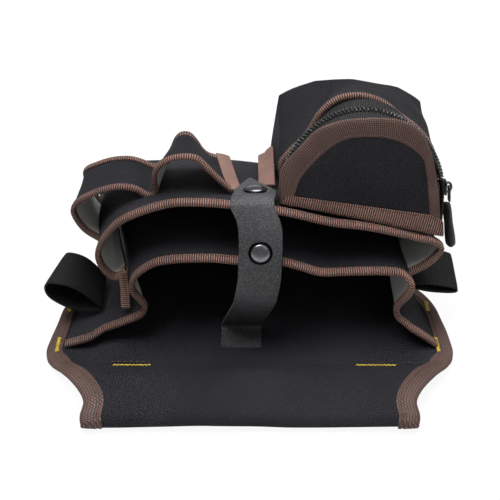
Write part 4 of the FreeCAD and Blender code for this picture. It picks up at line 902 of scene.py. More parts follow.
def make_tool_loops():
    cloth = sizes().cloth / MM
    grid = np.array([band_line(share) for share in np.linspace(0.02, 0.98, 14)])
    rows = np.linspace(0, 1, 14)[:, None, None]
    grid = grid - surface_normals(grid) * 0.3 * np.sin(np.pi * rows)
    piece = shell("loop_band_cloth", ripple(grid, 20, 0.5, 7), cloth, ["fine_cloth", "coating"])
    dress(piece, "pouch", "black_cloth", "tool_loop_band")
    width = sizes().lip_width / MM
    piece, near = binding("loop_binding_near", *band_frame(0, 1), width, 2.8, "pouch", "tool_loop_near_tape",
                          waver=0.6)
    piece, far = binding("loop_binding_far", *band_frame(1, -1), width + 1, 2.6, "pouch",
                         "tool_loop_far_tape", waver=0.9, relief=0.12)
    seam("loop_seam_near", near, 0.73, 0.05, "pouch")
    seam("loop_seam_far", far, 0.73, 0.05, "pouch")
    rows = []
    for share in np.linspace(0.0, 1.0, 12):
        line = band_line(share)
        x0, z0 = line[-1][0], line[-1][2]
        x0 -= 2.5 * share
        rows.append([(x0 - 4.0, line[0][1], z0 + 3.3), (x0 + 4.4, line[0][1], z0 + 0.9)])
    strip = np.array(rows)
    ribbed_strip("loop_end_binding", strip[:, 0], strip[:, 1], 1.2, "pouch", "satin", "brown_tape",
                 "tool_loop_end_tape")


def ribbed_strip(name, left, right, thickness, body, finish, slot, *nodes):
    """A flat tape between two edges, with a low crown."""
    left, right = np.asarray(left, float), np.asarray(right, float)
    joined = even(np.column_stack([left, right]), 0.6)
    left, right = joined[:, :3], joined[:, 3:]
    shares = np.array([0, 0.12, 0.4, 0.7, 0.92, 1.0])
    grid = left[:, None] + (right - left)[:, None] * shares[None, :, None]
    normals = surface_normals(grid)
    crown = 0.35 * np.sin(np.pi * shares)[None, :, None]
    grid = grid + normals * np.sign(normals[:, :, 2:3]) * crown
    along = distances(left)
    across = shares[None, :] * np.linalg.norm(right - left, axis=1)[:, None]
    uv = np.stack([np.broadcast_to(along[:, None], across.shape), across], axis=2)
    return dress(shell(name, grid, thickness, [finish], uv=uv), body, slot, *nodes)


# ---------------------------------------------------------------- zip pouch

ZIP_AT = np.array([65.5, 89 + BELT_EDGE, 85.2])
ZIP_IN = np.array([0, math.cos(math.radians(16)), -math.sin(math.radians(16))])
ZIP_UP = np.array([0, math.sin(math.radians(16)), math.cos(math.radians(16))])
TILT = math.tan(math.radians(12.4))


def on_pouch(across, up, depth):
    """A spot of the zip pouch: across the lid, up the lid and into the pouch."""
    across, up, depth = np.broadcast_arrays(np.asarray(across, float), up, depth)
    return (ZIP_AT + across[..., None] * np.array([1.0, 0, 0]) + up[..., None] * ZIP_UP
            + depth[..., None] * ZIP_IN)


RIM_POINTS = np.array([(-45, 12.1), (-46, 18), (-46.8, 24), (-47.1, 29), (-41, 37.2), (-33.6, 44.6),
                       (-25.6, 58.1), (-21.8, 62.7), (-13.7, 68.3), (-3, 70), (4.6, 68.7), (12.6, 65.2),
                       (21, 58.6), (31, 51.3), (39.5, 41.5), (43.8, 31), (45, 20), (45, -7.7)])
FAR_POINTS = np.array([(-43, 3), (-51.4, 17.5), (-45.9, 54.4), (-24, 64), (-18, 64.7), (-12, 65), (-6, 64.8),
                       (0, 64.5), (4, 64), (8, 63.6), (12, 63.2), (17.5, 62.5), (24, 61.4), (29.4, 59.9),
                       (39.7, 53.5), (43.5, 50.7), (47, 27.3), (42.5, -7)])


def make_zip_pouch():
    cloth = sizes().cloth / MM
    rim = smooth_line(RIM_POINTS, 5)
    far = smooth_line(FAR_POINTS, 5, stiff=0.8)
    grid = []
    for share in np.linspace(0, 1, 22):
        line = rim * (1 - share) + far * share
        belly = 0.5 * math.sin(math.pi * share)
        line = line + unit(line - np.array([0, 22])) * belly
        grid.append(on_pouch(line[:, 0], line[:, 1], 17.5 + share * (83 - 17.5)))
    centre = (far[0] + far[-1]) / 2 - np.array([0, 8.0])
    inward = [(share, deep, centre + (far - centre) * share)
              for share, deep in ((0.992, 83.7), (0.98, 84.3), (0.955, 84.7), (0.9, 84.9), (0.7, 85.3),
                                  (0.45, 85.7), (0.2, 85.8), (0.02, 85.8))]
    grid += [on_pouch(line[:, 0], line[:, 1], deep) for share, deep, line in inward if share > 0.95]
    grid = ripple(np.array(grid), 22, 1.3, 21)
    piece = shell("zip_pouch_cloth", grid, cloth, ["fine_cloth", "coating"])
    dress(piece, "pouch", "black_cloth", "zip_pouch_shell")
    cap = np.array([on_pouch(line[:, 0], line[:, 1], deep + 0.4)
                    for share, deep, line in inward if share < 0.985])
    piece = shell("zip_pouch_end_cloth", cap, cloth, ["fine_cloth", "coating"],
                  uv=np.array([line for share, deep, line in inward if share < 0.985]))
    dress(piece, "pouch", "black_cloth", "zip_pouch_end")
    path = on_pouch(rim[:, 0], rim[:, 1], 15.2)
    tangent = unit(np.gradient(path, axis=0))
    sides = np.broadcast_to(ZIP_IN, path.shape)
    normals = unit(np.cross(tangent, sides))
    piece, line = binding("zip_rim_binding", path, normals, sides, 5.5, 3.2, "pouch", "zip_pouch_arch_tape")
    seam("zip_rim_seam", line, 0.73, 0.05, "pouch")
    depths = np.array([118, 130, 142, 154, 165]) + BELT_EDGE
    share = np.linspace(0, 1, 5)
    edges = [np.stack([np.full(5, 5.6 + step), depths, 87.6 + lift - (6.8 - fall) * share], axis=1)
             for step, lift, fall in ((0.0, 0.0, 0.0), (4.8, 1.5, 1.2), (9.4, 2.2, 6.0))]
    ribbed_strip("zip_side_binding", edges[0], edges[1], 1.3, "pouch", "satin", "brown_tape",
                 "zip_pouch_side_tape")
    ribbed_strip("zip_side_fold", edges[1] + np.array([-0.3, 0, 0.7]), edges[2], 1.3, "pouch", "satin",
                 "brown_tape")


# ---------------------------------------------------------------- lid


LID_OUTER = [(-48.2, 10.9), (-48.6, 18.2), (-48.6, 26.7), (-46.6, 33.5), (-35.8, 46), (-28.1, 54.2),
             (-15.5, 59.5), (-4.5, 61.1), (7.3, 61.5), (19.3, 60.3), (27.4, 56.6), (34.2, 49.3), (38.9, 39.3),
             (42.7, 25), (45.9, 3.5), (46.6, -9.6)]
LID_INNER = [(-40.6, 8.4), (-39.7, 15.6), (-36.3, 25.9), (-27.6, 36.8), (-19.8, 44.3), (-10.4, 49.3),
             (0, 50.5), (10.3, 50.1), (20, 47.6), (28.3, 42.7), (33.4, 37.7), (35.9, 29.3), (38, 16.5),
             (39.8, 1.7), (40.2, -8.4)]


def lid_lines():
    """The lid border's outer and inner edges, from the hinge line on its left to its right foot."""
    outer = even(smooth_line(LID_OUTER, 6), 1.0)
    inner = smooth_line(LID_INNER, 6)
    along = distances(inner)
    spots = np.linspace(0, along[-1], len(outer))
    return outer, np.stack([np.interp(spots, along, inner[:, k]) for k in (0, 1)], axis=1)


def make_lid():
    outer, inner = lid_lines()
    border = outer + (inner - outer) * 0.75
    base = np.linspace(border[-1], border[0], 22)[1:-1]
    loop = np.vstack([border, base])
    loop = even(np.vstack([loop, loop[:1]]), 2.6)[:-1]
    centre = np.array([-1.0, 18.0])
    grid, uv = [], []
    for share in (0.0, 0.18, 0.36, 0.54, 0.7, 0.84, 0.94, 1.0):
        line = centre + (loop - centre) * max(share, 0.004)
        above = np.clip((line[:, 1] + TILT * line[:, 0] - 11) / 14, 0, 1)
        grid.append(on_pouch(line[:, 0], line[:, 1], -2.3 * (1 - share ** 2.6) * above - 0.1))
        uv.append(line)
    grid = np.array(grid)
    grid = ripple(grid, 17, 0.5, 2, np.broadcast_to(-ZIP_IN, grid.shape))
    panel = shell("lid_cloth", grid, 1.3, ["fine_cloth", "coating"], closed=True, uv=np.array(uv))
    dress(panel, "lid", "black_cloth", "lid_panel")
    path = on_pouch(outer[:, 0], outer[:, 1], 0.0)
    across = on_pouch(inner[:, 0], inner[:, 1], 0.0) - path
    width = np.linalg.norm(across, axis=1)
    normals = np.broadcast_to(-ZIP_IN, path.shape)
    piece, line = binding("lid_border_binding", path, normals, unit(across), width, 3.0, "lid",
                          "lid_border_tape", groove=1.8, finish="lid_tape")
    seam("lid_border_seam", line, 0.84, 0.05, "lid")
    run = np.linspace((-48.4, 10.7), (48.4, 0.4 - TILT * 48.4), 40)
    path = on_pouch(run[:, 0], run[:, 1], 0.0)
    normals = np.broadcast_to(-ZIP_IN, path.shape)
    up = unit((ZIP_UP + np.array([TILT, 0, 0]))[None, :])
    ends = np.sqrt(np.clip(1 - np.abs(np.linspace(-1.005, 1.005, 40)) ** 40, 0.04, 1))
    piece, line = binding("lid_base_binding", path, normals, np.broadcast_to(up, path.shape),
                          np.interp(np.linspace(0, 1, 40), (0, 0.9, 1), (5.4, 11.8, 9.2)) * ends,
                          3.7 * np.sqrt(ends), "lid", (), groove=1.6)
    seam("lid_base_seam", line, 0.76, 0.05, "lid")


# ---------------------------------------------------------------- zip


COIL_RADIUS = 47.5
COIL_CENTRE = 14


def zip_line(start, end, step, radius=COIL_RADIUS, bulge=3.0, power=4):
    """The zip's course: up the right leg, over the arc and down the left one, by distance from angle 0."""
    out = []
    half_turn = COIL_RADIUS * math.pi
    for s in np.arange(start, end + step / 2, step):
        angle = min(max(s / COIL_RADIUS, 0), math.pi)
        reach = radius + bulge * math.sin(angle) ** power
        leg = min(s, 0) + min(half_turn - s, 0)
        out.append((reach * math.cos(angle), COIL_CENTRE + reach * math.sin(angle) + leg,
                    math.cos(angle), math.sin(angle)))
    return np.array(out)


def zip_strip(name, start, end, shallow, deep, body, *nodes):
    """A strip of zip tape between two edges, each given as (depth, radius, bulge, power)."""
    near, far = (zip_line(start, end, 1.0, *edge[1:]) for edge in (shallow, deep))
    shares = np.linspace(0, 1, 5)
    grid = np.array([on_pouch(*(near[:, :2] * (1 - share) + far[:, :2] * share).T,
                              shallow[0] + (deep[0] - shallow[0]) * share) for share in shares])
    grid = grid.transpose(1, 0, 2)
    uv = np.stack(np.broadcast_arrays(distances(grid[:, 0])[:, None], shares[None, :] * 6), axis=2)
    piece = shell(name, grid, 0.75, ["zip_cloth"], uv=uv)
    return dress(piece, body, "zip_tape", *nodes)


def zip_row(name, start, end, depth, lean, body, *nodes):
    """One row of the coil, wound round the tape's edge."""
    pitch, turns = 2.1, 9
    line = zip_line(start, end, pitch / turns)
    phase = np.arange(len(line)) * 2 * math.pi / turns
    radial = 1.0 * np.cos(phase)
    inward = depth + 1.55 * np.sin(phase) * lean
    path = on_pouch(line[:, 0] + line[:, 2] * radial, line[:, 1] + line[:, 3] * radial, inward)
    return tube(name, path, 0.55, 6, body, "coil", "zip_coil", nodes)


def make_zip():
    arc = COIL_RADIUS * math.pi / 180
    first, last = 12.5 * arc, 163.5 * arc
    coil, straight = (COIL_RADIUS, 3.0, 4), (COIL_RADIUS, 0.0, 4)
    zip_strip("lid_zip_cloth", first, last, (1.2, 46.2, 0.6, 4), (7.6, *coil), "lid", "zip_tape_lid")
    zip_strip("pouch_zip_cloth", first, last, (9.6, *coil), (16.6, 43.9, 11.2, 5), "pouch", "zip_tape_pouch")
    zip_row("lid_coil", first, last, 6.95, 1, "lid", "zip_coil_lid")
    zip_row("pouch_coil", first, last, 10.25, -1, "pouch", "zip_coil_pouch")
    right_low = (-COIL_RADIUS * TILT + 2.2) - COIL_CENTRE
    left_low = COIL_RADIUS * math.pi + COIL_CENTRE - (COIL_RADIUS * TILT - 0.8)
    stop = ((2.0, *straight), (15.2, *straight))
    clear = 176.3 * arc
    zip_strip("zip_stop_cloth_right", right_low, first - 0.5, *stop, "pouch", "zip_end_right")
    zip_strip("zip_stop_cloth_left", clear, left_low, *stop, "pouch", "zip_end_left")
    zip_strip("zip_left_cloth_near", last + 0.5, clear, (2.0, *straight), (7.2, *straight), "pouch")
    zip_strip("zip_left_cloth_deep", last + 0.5, clear, (10.0, *straight), (15.2, *straight), "pouch")
    for side, start, end in (("right", right_low + 1, first - 0.5), ("left", clear + 0.3, left_low - 1)):
        zip_row("zip_stop_row_a_" + side, start, end, 6.95, 1, "pouch")
        zip_row("zip_stop_row_b_" + side, start, end, 10.25, -1, "pouch")


PARK = math.radians(4)


def on_slider(radial, tangent, depth):
    """A spot of the parked slider: out from the zip's centre, round it and into the pouch."""
    across = radial * math.cos(PARK) - tangent * math.sin(PARK)
    up = COIL_CENTRE + radial * math.sin(PARK) + tangent * math.cos(PARK)
    return on_pouch(across, up, depth)


def on_tab(radial, tangent, depth):
    """A spot of the pull's tab, which is twisted on its wire and leans out going down."""
    turn, arm, rise = math.radians(50), np.asarray(depth) - 8.6, np.asarray(radial) - 51.85
    out = 50.2 + rise * math.cos(turn) - arm * math.sin(turn) - 0.1 * (np.asarray(tangent) + 9)
    return on_slider(out, tangent, 8.6 + rise * math.sin(turn) + arm * math.cos(turn))


def slab(name, outline, low, high, bevel, body, finish, slot, *nodes, place=on_slider):
    """A plate with rounded edges: its outline in (round, deep), from one height out to another."""
    outline = np.array(outline, float)
    centre = outline.mean(axis=0)
    rings = [(low, -bevel), (low + bevel * 0.3, -bevel * 0.3), (low + bevel, 0), (high - bevel, 0),
             (high - bevel * 0.3, -bevel * 0.3), (high, -bevel)]
    vertices = []
    for level, inset in rings:
        line = outline + unit(outline - centre) * inset
        vertices.append(place(np.full(len(line), level), line[:, 0], line[:, 1]))
    size = len(outline)
    faces = [[k for k in range(size)][::-1], [(len(rings) - 1) * size + k for k in range(size)]]
    for ring in range(len(rings) - 1):
        for k in range(size):
            a, b = ring * size + k, ring * size + (k + 1) % size
            faces.append([a, b, b + size, a + size])
    vertices = np.concatenate(vertices)
    corners = [[vertices[v][1], vertices[v][2]] for face in faces for v in face]
    return dress(add_piece(name, vertices, faces, corners, [finish]), body, slot, *nodes)


def make_slider():
    plate = smooth_line([(-4.4, 6.3), (-4.6, 8.6), (-4.4, 10.9), (-1.0, 11.4), (2.4, 12.5), (4.3, 11.9),
                         (4.6, 8.6), (4.3, 5.3), (2.4, 4.7), (-1.0, 5.8)], 4, closed=True)
    slab("slider_top_plate", plate, 49.0, 50.3, 0.5, "slider", "slider", "black_metal", "zip_slider")
    slab("slider_bottom_plate", plate, 44.8, 46.0, 0.4, "slider", "slider", "black_metal")
    neck = smooth_line([(1.2, 8.3), (3.6, 8.1), (3.6, 9.1), (1.2, 8.9)], 3, closed=True)
    slab("slider_neck", neck, 45.6, 49.4, 0.1, "slider", "slider", "black_metal")
    rim = []
    for t in np.linspace(0, 1, 13):
        angle = math.pi * t
        rim.append(on_slider(50.2 + 2.9 * math.sin(angle) ** 0.7, 2.9 * math.cos(angle), 8.6))
    tube("slider_bail", rim, 0.75, 10, "slider", "slider", "black_metal")
    corners = [(0.0, 6.9), (0.3, 8.6), (0.0, 10.3), (-1.6, 10.65), (-4.5, 10.55), (-7.6, 10.65), (-8.4, 10.2),
               (-8.5, 8.6), (-8.4, 7.0), (-7.6, 6.55), (-4.5, 6.65), (-1.6, 6.55)]
    loop = smooth_line(corners, 4, closed=True)
    path = on_slider(np.full(len(loop), 51.9), loop[:, 0], loop[:, 1])
    tube("puller_wire", path, 0.62, 8, "puller", "slider", "black_metal", "puller_link", closed=True)
    tab = smooth_line([(-9.2, 8.6), (-9.6, 7.0), (-12, 6.3), (-22, 6.0), (-33, 5.6), (-36.6, 6.1),
                       (-38.2, 8.6), (-36.6, 11.1), (-33, 11.6), (-22, 11.2), (-12, 10.9), (-9.6, 10.2)], 4,
                      closed=True)
    slab("puller_grip", tab, 50.4, 53.3, 0.9, "puller", "pull", "pull_plastic", "puller_tab", place=on_tab)
    for number, spot in enumerate((-15, -18, -21, -24, -27, -30)):
        ridge = [on_tab(53.2, spot, depth) for depth in np.linspace(6.9, 10.3, 6)]
        tube("puller_ridge_%d" % number, ridge, 0.42, 6, "puller", "pull", "pull_plastic")


# ---------------------------------------------------------------- closing strap

STRAP_SIDE = [(64.6, 6.1), (70, 6.1), (75.5, 6.2), (79.8, 6.9), (81.6, 8.8), (80.8, 11.6), (77.5, 16.5),
              (72.8, 24), (66.6, 33.5), (60.9, 43.5), (59.4, 51), (60.6, 60), (69.6, 82), (77.4, 96),
              (82, 101.8), (85, 102.7)]
STRAP_COURSE = [(0, -5.6), (9, -5.4), (26, -1.6), (45, 2.6), (62, 5.4), (80, 6.2), (89, 6), (94.5, 4.6),
                (99, 1.8), (101.6, 1.3), (110, 1.3)]
STRAP_HALF = 12.5
TIP_LENGTH, TIP_POINT = 38, 21
TIP_SLOPE = math.radians(15.4)


def strap_rows():
    """Middle line of the whole strap, with its half width, from its sewn foot to its tip."""
    side = smooth_line(STRAP_SIDE, 8)
    course = np.array(STRAP_COURSE, float)
    rows = [(np.interp(z, course[:, 0], course[:, 1]), y, z, STRAP_HALF) for y, z in side]
    for reach in np.linspace(2.5, TIP_LENGTH, 32):
        taper = max(0.0, (reach - TIP_LENGTH + TIP_POINT) / TIP_POINT)
        half = STRAP_HALF - 11.4 * taper ** 1.12
        crown = 0.9 * math.sin(math.pi * min(reach, 10) / 10)
        rows.append((1.2 + 1.8 * min(reach / 14, 1) - 3.0 * taper, 84.5 + reach * math.cos(TIP_SLOPE),
                     102.65 - reach * math.sin(TIP_SLOPE) + crown, half))
    return even(np.array(rows), 1.5)


def strap_part(name, rows, slot, *nodes):
    xs = np.linspace(-1, 1, 15)
    side = np.sign(xs) * np.abs(xs) ** 0.9
    grid = np.stack([rows[:, :1] + rows[:, 3:4] * side[None, :],
                     np.repeat(rows[:, 1:2] + BELT_EDGE, 15, axis=1), np.repeat(rows[:, 2:3], 15, axis=1)],
                    axis=2)
    normals = surface_normals(grid)
    curl = -0.5 * (side[None, :] ** 2) * np.clip((rows[:, 2:3] - 12) / 20, 0, 1)
    grid = grid + normals * curl[:, :, None]
    thick = np.full((len(rows), 15, 1), sizes().strap_thickness / MM)
    thick[:, [0, -1]] *= 0.72
    piece = shell(name, grid, thick, ["strap", "strap", "strap_edge"])
    return dress(piece, None, slot, *nodes)


def make_strap():
    rows = strap_rows()
    split = int(np.argmin(np.abs(rows[:, 2] - 71) + 100 * (rows[:, 1] > 84)))
    lower = strap_part("strap_lower", rows[:split + 1], "strap_leather", "strap_foot", "strap_span")
    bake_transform(lower)
    upper = strap_part("strap_upper", rows[split:], "strap_leather", "strap_tip")
    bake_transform(upper)
    foot = [(x, 66.3, 7.05) for x in np.linspace(-17.0, 5.0, 17)]
    run = np.array([(x, y + BELT_EDGE, z, 0, 0, 1) for x, y, z in foot])
    stitches("strap_foot_stitches", run, 0.3, "pouch", "black_stitch")


CAP = [(0, 1.95), (2.4, 1.85), (4.0, 1.6), (4.9, 1.25), (5.3, 0.95), (5.7, 0.9), (6.5, 0.95), (6.95, 0.75),
       (7.1, 0.4), (6.9, 0.06), (6.2, 0.0)]


def tip_spot(reach, lift):
    y = 84.5 + reach * math.cos(TIP_SLOPE) + lift * math.sin(TIP_SLOPE)
    return (3.0, y + BELT_EDGE, 102.6 - reach * math.sin(TIP_SLOPE) + lift * math.cos(TIP_SLOPE))


def make_snaps():
    tip_up = (0, math.sin(TIP_SLOPE), math.cos(TIP_SLOPE))
    tip_down = tuple(-v for v in tip_up)
    middle_out = (0, -0.925, 0.379)
    middle_in = (0, 0.925, -0.379)
    seat = np.array([6.0, 68.02 + BELT_EDGE, 77.16])
    turned("snap_dome_tip", CAP, tip_spot(15.5, 0.82), tip_up, "strap_end", "snap", "black_metal",
           "snap_cap_tip")
    turned("snap_dome_middle", CAP, seat + np.array(middle_out) * 0.82, middle_out, "strap", "snap",
           "black_metal", "snap_cap_middle")
    socket = [(0, 0.35), (2.4, 0.4), (3.9, 0.5), (4.4, 1.1), (4.5, 1.75), (5.2, 1.95), (5.9, 1.6), (6.0, 0.8),
              (6.0, 0.0)]
    turned("snap_ring_tip", socket, tip_spot(15.5, -0.82), tip_down, "strap_end", "snap", "black_metal",
           "snap_socket_tip")
    turned("snap_ring_middle", socket, seat + np.array(middle_in) * 0.82, middle_in, "strap", "snap",
           "black_metal", "snap_socket_middle")
    stud = [(0, 1.5), (1.3, 1.45), (1.9, 1.25), (2.35, 1.0), (2.1, 0.4), (2.2, 0.15), (4.2, 0.1), (5.0, -0.1),
            (5.0, -0.6)]
    turned("snap_stud_head", stud, tip_spot(15.5, -2.9), tip_up, "pouch", "snap", "black_metal", "snap_stud")


# ---------------------------------------------------------------- side loops and bartacks


def loop_ring(root, reach, height, lift, shift):
    """The webbing's course at one edge: out along the top, round the tip and back underneath."""
    bulge = [(0.2, 0.62), (0.45, 1.0), (0.72, 0.95), (0.93, 0.66), (1.0, 0.3)]

    def spot(out, up):
        return (root[0] + out * reach[0] + (1 - out) * shift, root[1] + out * reach[1] + up + lift)

    upper = [spot(0, 1.1)] + [spot(out, up * height / 2) for out, up in bulge]
    lower = [spot(out, -up * height / 2) for out, up in bulge[::-1]] + [spot(0, -1.1)]
    return smooth_line(upper + lower, 6)


def make_side_loops():
    for name, node, root, reach, height, rise, drawn in (
            ("side_loop_left", "webbing_loop_left", (-93.5, 19.7), (-32.4, 14.6), 18, 0, 8),
            ("side_loop_right", "webbing_loop_right", (94.2, 38), (33.2, -4.5), 5.5, 4.2, 0)):
        rows = []
        for share in np.linspace(0, 1, 9):
            tip = (reach[0] + drawn * share, reach[1])
            ring = loop_ring(root, tip, height, rise * share, 0.55 * rise * share)
            rows.append(np.stack([ring[:, 0], np.full(len(ring), 86 + 30 * share + BELT_EDGE), ring[:, 1]],
                                 axis=1))
        line = np.array(rows).transpose(1, 0, 2)
        flat = even(line.reshape(len(line), -1), 0.4).reshape(-1, 9, 3)
        along = distances(flat[:, 4])
        ridge = np.abs(np.sin(np.pi * along / 1.6))[:, None, None]
        uv = np.stack(np.broadcast_arrays(along[:, None], np.linspace(0, 30, 9)[None, :]), axis=2)
        thick = sizes().webbing / MM + 0.16 * (ridge - 0.5) * np.ones((1, 9, 1))
        thick[:, [0, -1]] *= 0.7
        piece = shell(name, flat, thick, ["webbing"], uv=uv)
        dress(piece, "pouch", "black_webbing", node)


def make_bartacks():
    tops = [(-71.3, 48.3, "x", 22.5, 6.75), (76, 48.2, "x", 24, 6.75), (-118.6, 67, "y", 12.5, 6.15),
            (115.8, 67, "y", 12.5, 6.15), (-116.1, 102, "y", 9, 6.15), (114.4, 103, "y", 9, 6.15)]
    for number, (x, y, way, length, level) in enumerate(tops):
        wide = 0.3 if way == "x" else 1.05
        steps = int(length / (1.1 if way == "x" else 0.75))
        zigzag = []
        for step in range(steps + 1):
            run = -length / 2 + length * step / steps
            off = (wide if step % 2 else -wide) + 0.12 * math.sin(step * 2.3)
            spot = (x + run, y + off) if way == "x" else (x + off, y + run)
            zigzag.append((spot[0], spot[1] + BELT_EDGE, level + float(belt_wave(x, y))))
        path = smooth_line(zigzag, 3)
        nodes = ["bartacks"] if number == 0 else []
        tube("bartack_zigzag_%d" % number, path, 0.34, 6, "pouch", "thread", "yellow_thread", nodes)
    for name, finish, spots in (
            ("tunnel_end_stitches", "stitch", [(x, 51.6, 6.2) for x in np.linspace(-84, -62, 13)]),
            ("tunnel_tail_stitches", "black_stitch",
             [(93 + 1.4 * k, 50.2 + 0.8 * math.sin(k * 0.9), 6.3) for k in range(9)])):
        run = [(x, y + BELT_EDGE, z + float(belt_wave(x, y)), 0, 0, 1) for x, y, z in spots]
        stitches(name, np.array(run), 0.3, "pouch", finish)


# ---------------------------------------------------------------- stage


def make_stage():
    """Pale floor, soft lights and the camera."""
    scene = bpy.context.scene
    floor_mesh = bpy.data.meshes.new("floor")
    corners = [(x, y, -0.0006) for x, y in ((-4, -4), (4, -4), (4, 6), (-4, 6))]
    floor_mesh.from_pydata(corners, [], [(0, 1, 2, 3)])
    floor = bpy.data.objects.new("floor", floor_mesh)
    scene.collection.objects.link(floor)
    material = bpy.data.materials.new("floor_paper")
    material.use_nodes = True
    nodes, links = material.node_tree.nodes, material.node_tree.links
    shader = nodes["Principled BSDF"]
    shader.inputs["Roughness"].default_value = 0.9
    shader.inputs["Base Color"].default_value = (0.75, 0.75, 0.75, 1)
    glow, seen, blend = (nodes.new("ShaderNodeEmission"), nodes.new("ShaderNodeLightPath"),
                         nodes.new("ShaderNodeMixShader"))
    glow.inputs["Strength"].default_value = 1.02
    share = nodes.new("ShaderNodeMath")
    share.operation = "MULTIPLY"
    share.inputs[1].default_value = 0.9
    links.new(seen.outputs["Is Camera Ray"], share.inputs[0])
    links.new(share.outputs[0], blend.inputs[0])
    links.new(shader.outputs[0], blend.inputs[1])
    links.new(glow.outputs[0], blend.inputs[2])
    links.new(blend.outputs[0], nodes["Material Output"].inputs[0])
    floor_mesh.materials.append(material)

    world = bpy.data.worlds.new("studio")
    world.use_nodes = True
    nodes, links = world.node_tree.nodes, world.node_tree.links
    sky = nodes["Background"]
    sky.inputs["Color"].default_value = (1, 1, 1, 1)
    path = nodes.new("ShaderNodeLightPath")
    direct = nodes.new("ShaderNodeMath")
    direct.operation = "MAXIMUM"
    links.new(path.outputs["Is Camera Ray"], direct.inputs[0])
    links.new(path.outputs["Is Transmission Ray"], direct.inputs[1])
    level = nodes.new("ShaderNodeMapRange")
    level.inputs["To Min"].default_value = 0.22
    level.inputs["To Max"].default_value = 1.0
    links.new(direct.outputs[0], level.inputs["Value"])
    links.new(level.outputs[0], sky.inputs["Strength"])
    scene.world = world

    for name, spot, aim, size, power in (
            ("key_light", (-0.3, -0.15, 1.25), (0, 0, 0.04), 0.7, 16),
            ("top_light", (0.25, 0.4, 1.2), (0, 0.02, 0.05), 0.9, 14),
            ("fill_light", (0.6, -0.8, 0.9), (0.02, 0, 0.05), 0.7, 1.2)):
        light = bpy.data.lights.new(name, "AREA")
        light.energy = power
        light.shape = "SQUARE"
        light.size = size
        lamp = bpy.data.objects.new(name, light)
        lamp.location = spot
        lamp.rotation_euler = (Vector(aim) - Vector(spot)).to_track_quat("-Z", "Y").to_euler()
        scene.collection.objects.link(lamp)

    camera = bpy.data.cameras.new("camera")
    camera.lens = 72
    camera.sensor_width = 36
    camera.clip_start = 0.05
    eye = bpy.data.objects.new("camera", camera)
    eye.location = (0, -0.4985, 0.4317)
    eye.rotation_euler = (Vector((0, -0.00895, 0.0512)) - eye.location).to_track_quat("-Z", "Y").to_euler()
    scene.collection.objects.link(eye)
    scene.camera = eye
    scene.view_settings.view_transform = "Standard"


# ---------------------------------------------------------------- operators


class PieceOperator:
    bl_options = {"REGISTER", "UNDO"}

    def execute(self, context):
        if not FINISHES:
            mix_finishes()
        for step in self.steps:
            step()
        return {"FINISHED"}


class TOOLPOUCH_OT_back_panel(PieceOperator, bpy.types.Operator):
    """Sew the padded back panel with its belt tunnel"""
    bl_idname = "tool_pouch.back_panel"
    bl_label = "Back Panel"
    steps = (make_back_panel,)


class TOOLPOUCH_OT_edge_tape(PieceOperator, bpy.types.Operator):
    """Bind the back panel's edge with tape"""
    bl_idname = "tool_pouch.edge_tape"
    bl_label = "Edge Tape"
    steps = (make_edge_tape,)


class TOOLPOUCH_OT_main_pocket(PieceOperator, bpy.types.Operator):
    """Sew the wide front pocket, its gussets and its bound mouth"""
    bl_idname = "tool_pouch.main_pocket"
    bl_label = "Main Pocket"
    steps = (make_main_pocket,)


class TOOLPOUCH_OT_second_pocket(PieceOperator, bpy.types.Operator):
    """Sew the second pocket on top of the main one"""
    bl_idname = "tool_pouch.second_pocket"
    bl_label = "Second Pocket"
    steps = (make_second_pocket,)


class TOOLPOUCH_OT_tool_loops(PieceOperator, bpy.types.Operator):
    """Sew the band that makes two tool loops"""
    bl_idname = "tool_pouch.tool_loops"
    bl_label = "Tool Loops"
    steps = (make_tool_loops,)


class TOOLPOUCH_OT_zip_pouch(PieceOperator, bpy.types.Operator):
    """Sew the boxy zip pouch on the second pocket"""
    bl_idname = "tool_pouch.zip_pouch"
    bl_label = "Zip Pouch"
    steps = (make_zip_pouch,)


class TOOLPOUCH_OT_lid(PieceOperator, bpy.types.Operator):
    """Sew the zip pouch's round lid"""
    bl_idname = "tool_pouch.lid"
    bl_label = "Lid"
    steps = (make_lid,)


class TOOLPOUCH_OT_zip(PieceOperator, bpy.types.Operator):
    """Make the coil zip, its slider and its pull"""
    bl_idname = "tool_pouch.zip"
    bl_label = "Zip"
    steps = (make_zip, make_slider)


class TOOLPOUCH_OT_strap(PieceOperator, bpy.types.Operator):
    """Cut the closing strap and set its snaps"""
    bl_idname = "tool_pouch.strap"
    bl_label = "Strap and Snaps"
    steps = (make_strap, make_snaps)


class TOOLPOUCH_OT_side_loops(PieceOperator, bpy.types.Operator):
    """Sew a webbing loop on each side"""
    bl_idname = "tool_pouch.side_loops"
    bl_label = "Side Loops"
    steps = (make_side_loops,)


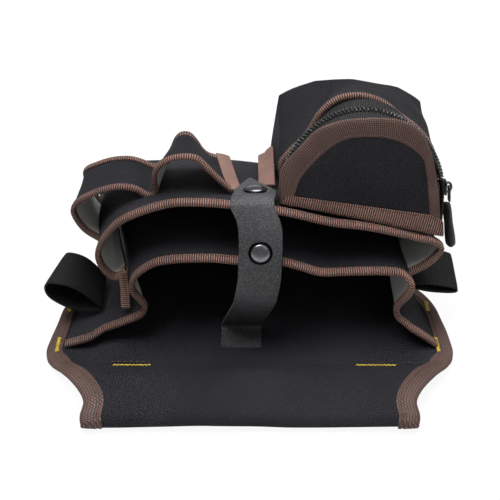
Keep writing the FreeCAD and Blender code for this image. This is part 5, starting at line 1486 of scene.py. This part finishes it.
class TOOLPOUCH_OT_bartacks(PieceOperator, bpy.types.Operator):
    """Sew the bartacks that hold the seams"""
    bl_idname = "tool_pouch.bartacks"
    bl_label = "Bartacks"
    steps = (make_bartacks,)


class TOOLPOUCH_OT_stage(bpy.types.Operator):
    """Add the floor, the lights and the camera"""
    bl_idname = "tool_pouch.stage"
    bl_label = "Stage"
    bl_options = {"REGISTER", "UNDO"}

    def execute(self, context):
        make_stage()
        return {"FINISHED"}


OPERATORS = (TOOLPOUCH_OT_back_panel, TOOLPOUCH_OT_edge_tape, TOOLPOUCH_OT_main_pocket,
             TOOLPOUCH_OT_second_pocket, TOOLPOUCH_OT_tool_loops, TOOLPOUCH_OT_zip_pouch, TOOLPOUCH_OT_lid,
             TOOLPOUCH_OT_zip, TOOLPOUCH_OT_strap, TOOLPOUCH_OT_side_loops, TOOLPOUCH_OT_bartacks,
             TOOLPOUCH_OT_stage)


class TOOLPOUCH_PT_sidebar(bpy.types.Panel):
    """Sizes, colours and pieces of the tool pouch"""
    bl_idname = "TOOLPOUCH_PT_sidebar"
    bl_label = "Tool Pouch"
    bl_space_type = "VIEW_3D"
    bl_region_type = "UI"
    bl_category = "Tool Pouch"

    def draw(self, context):
        for group in (context.scene.tool_pouch_sizes, context.scene.tool_pouch_colours):
            column = self.layout.column()
            for name in group.__annotations__:
                column.prop(group, name)
        for operator in OPERATORS:
            self.layout.operator(operator.bl_idname)


CLASSES = (PouchSizes, PouchColours, *OPERATORS, TOOLPOUCH_PT_sidebar)


def register():
    for cls in CLASSES:
        bpy.utils.register_class(cls)
    bpy.types.Scene.tool_pouch_sizes = bpy.props.PointerProperty(type=PouchSizes)
    bpy.types.Scene.tool_pouch_colours = bpy.props.PointerProperty(type=PouchColours)


def unregister():
    del bpy.types.Scene.tool_pouch_sizes
    del bpy.types.Scene.tool_pouch_colours
    for cls in reversed(CLASSES):
        bpy.utils.unregister_class(cls)


def main():
    register()
    for operator in OPERATORS:
        group, name = operator.bl_idname.split(".")
        getattr(getattr(bpy.ops, group), name)()
    bpy.context.view_layer.update()


if __name__ == "__main__":
    main()
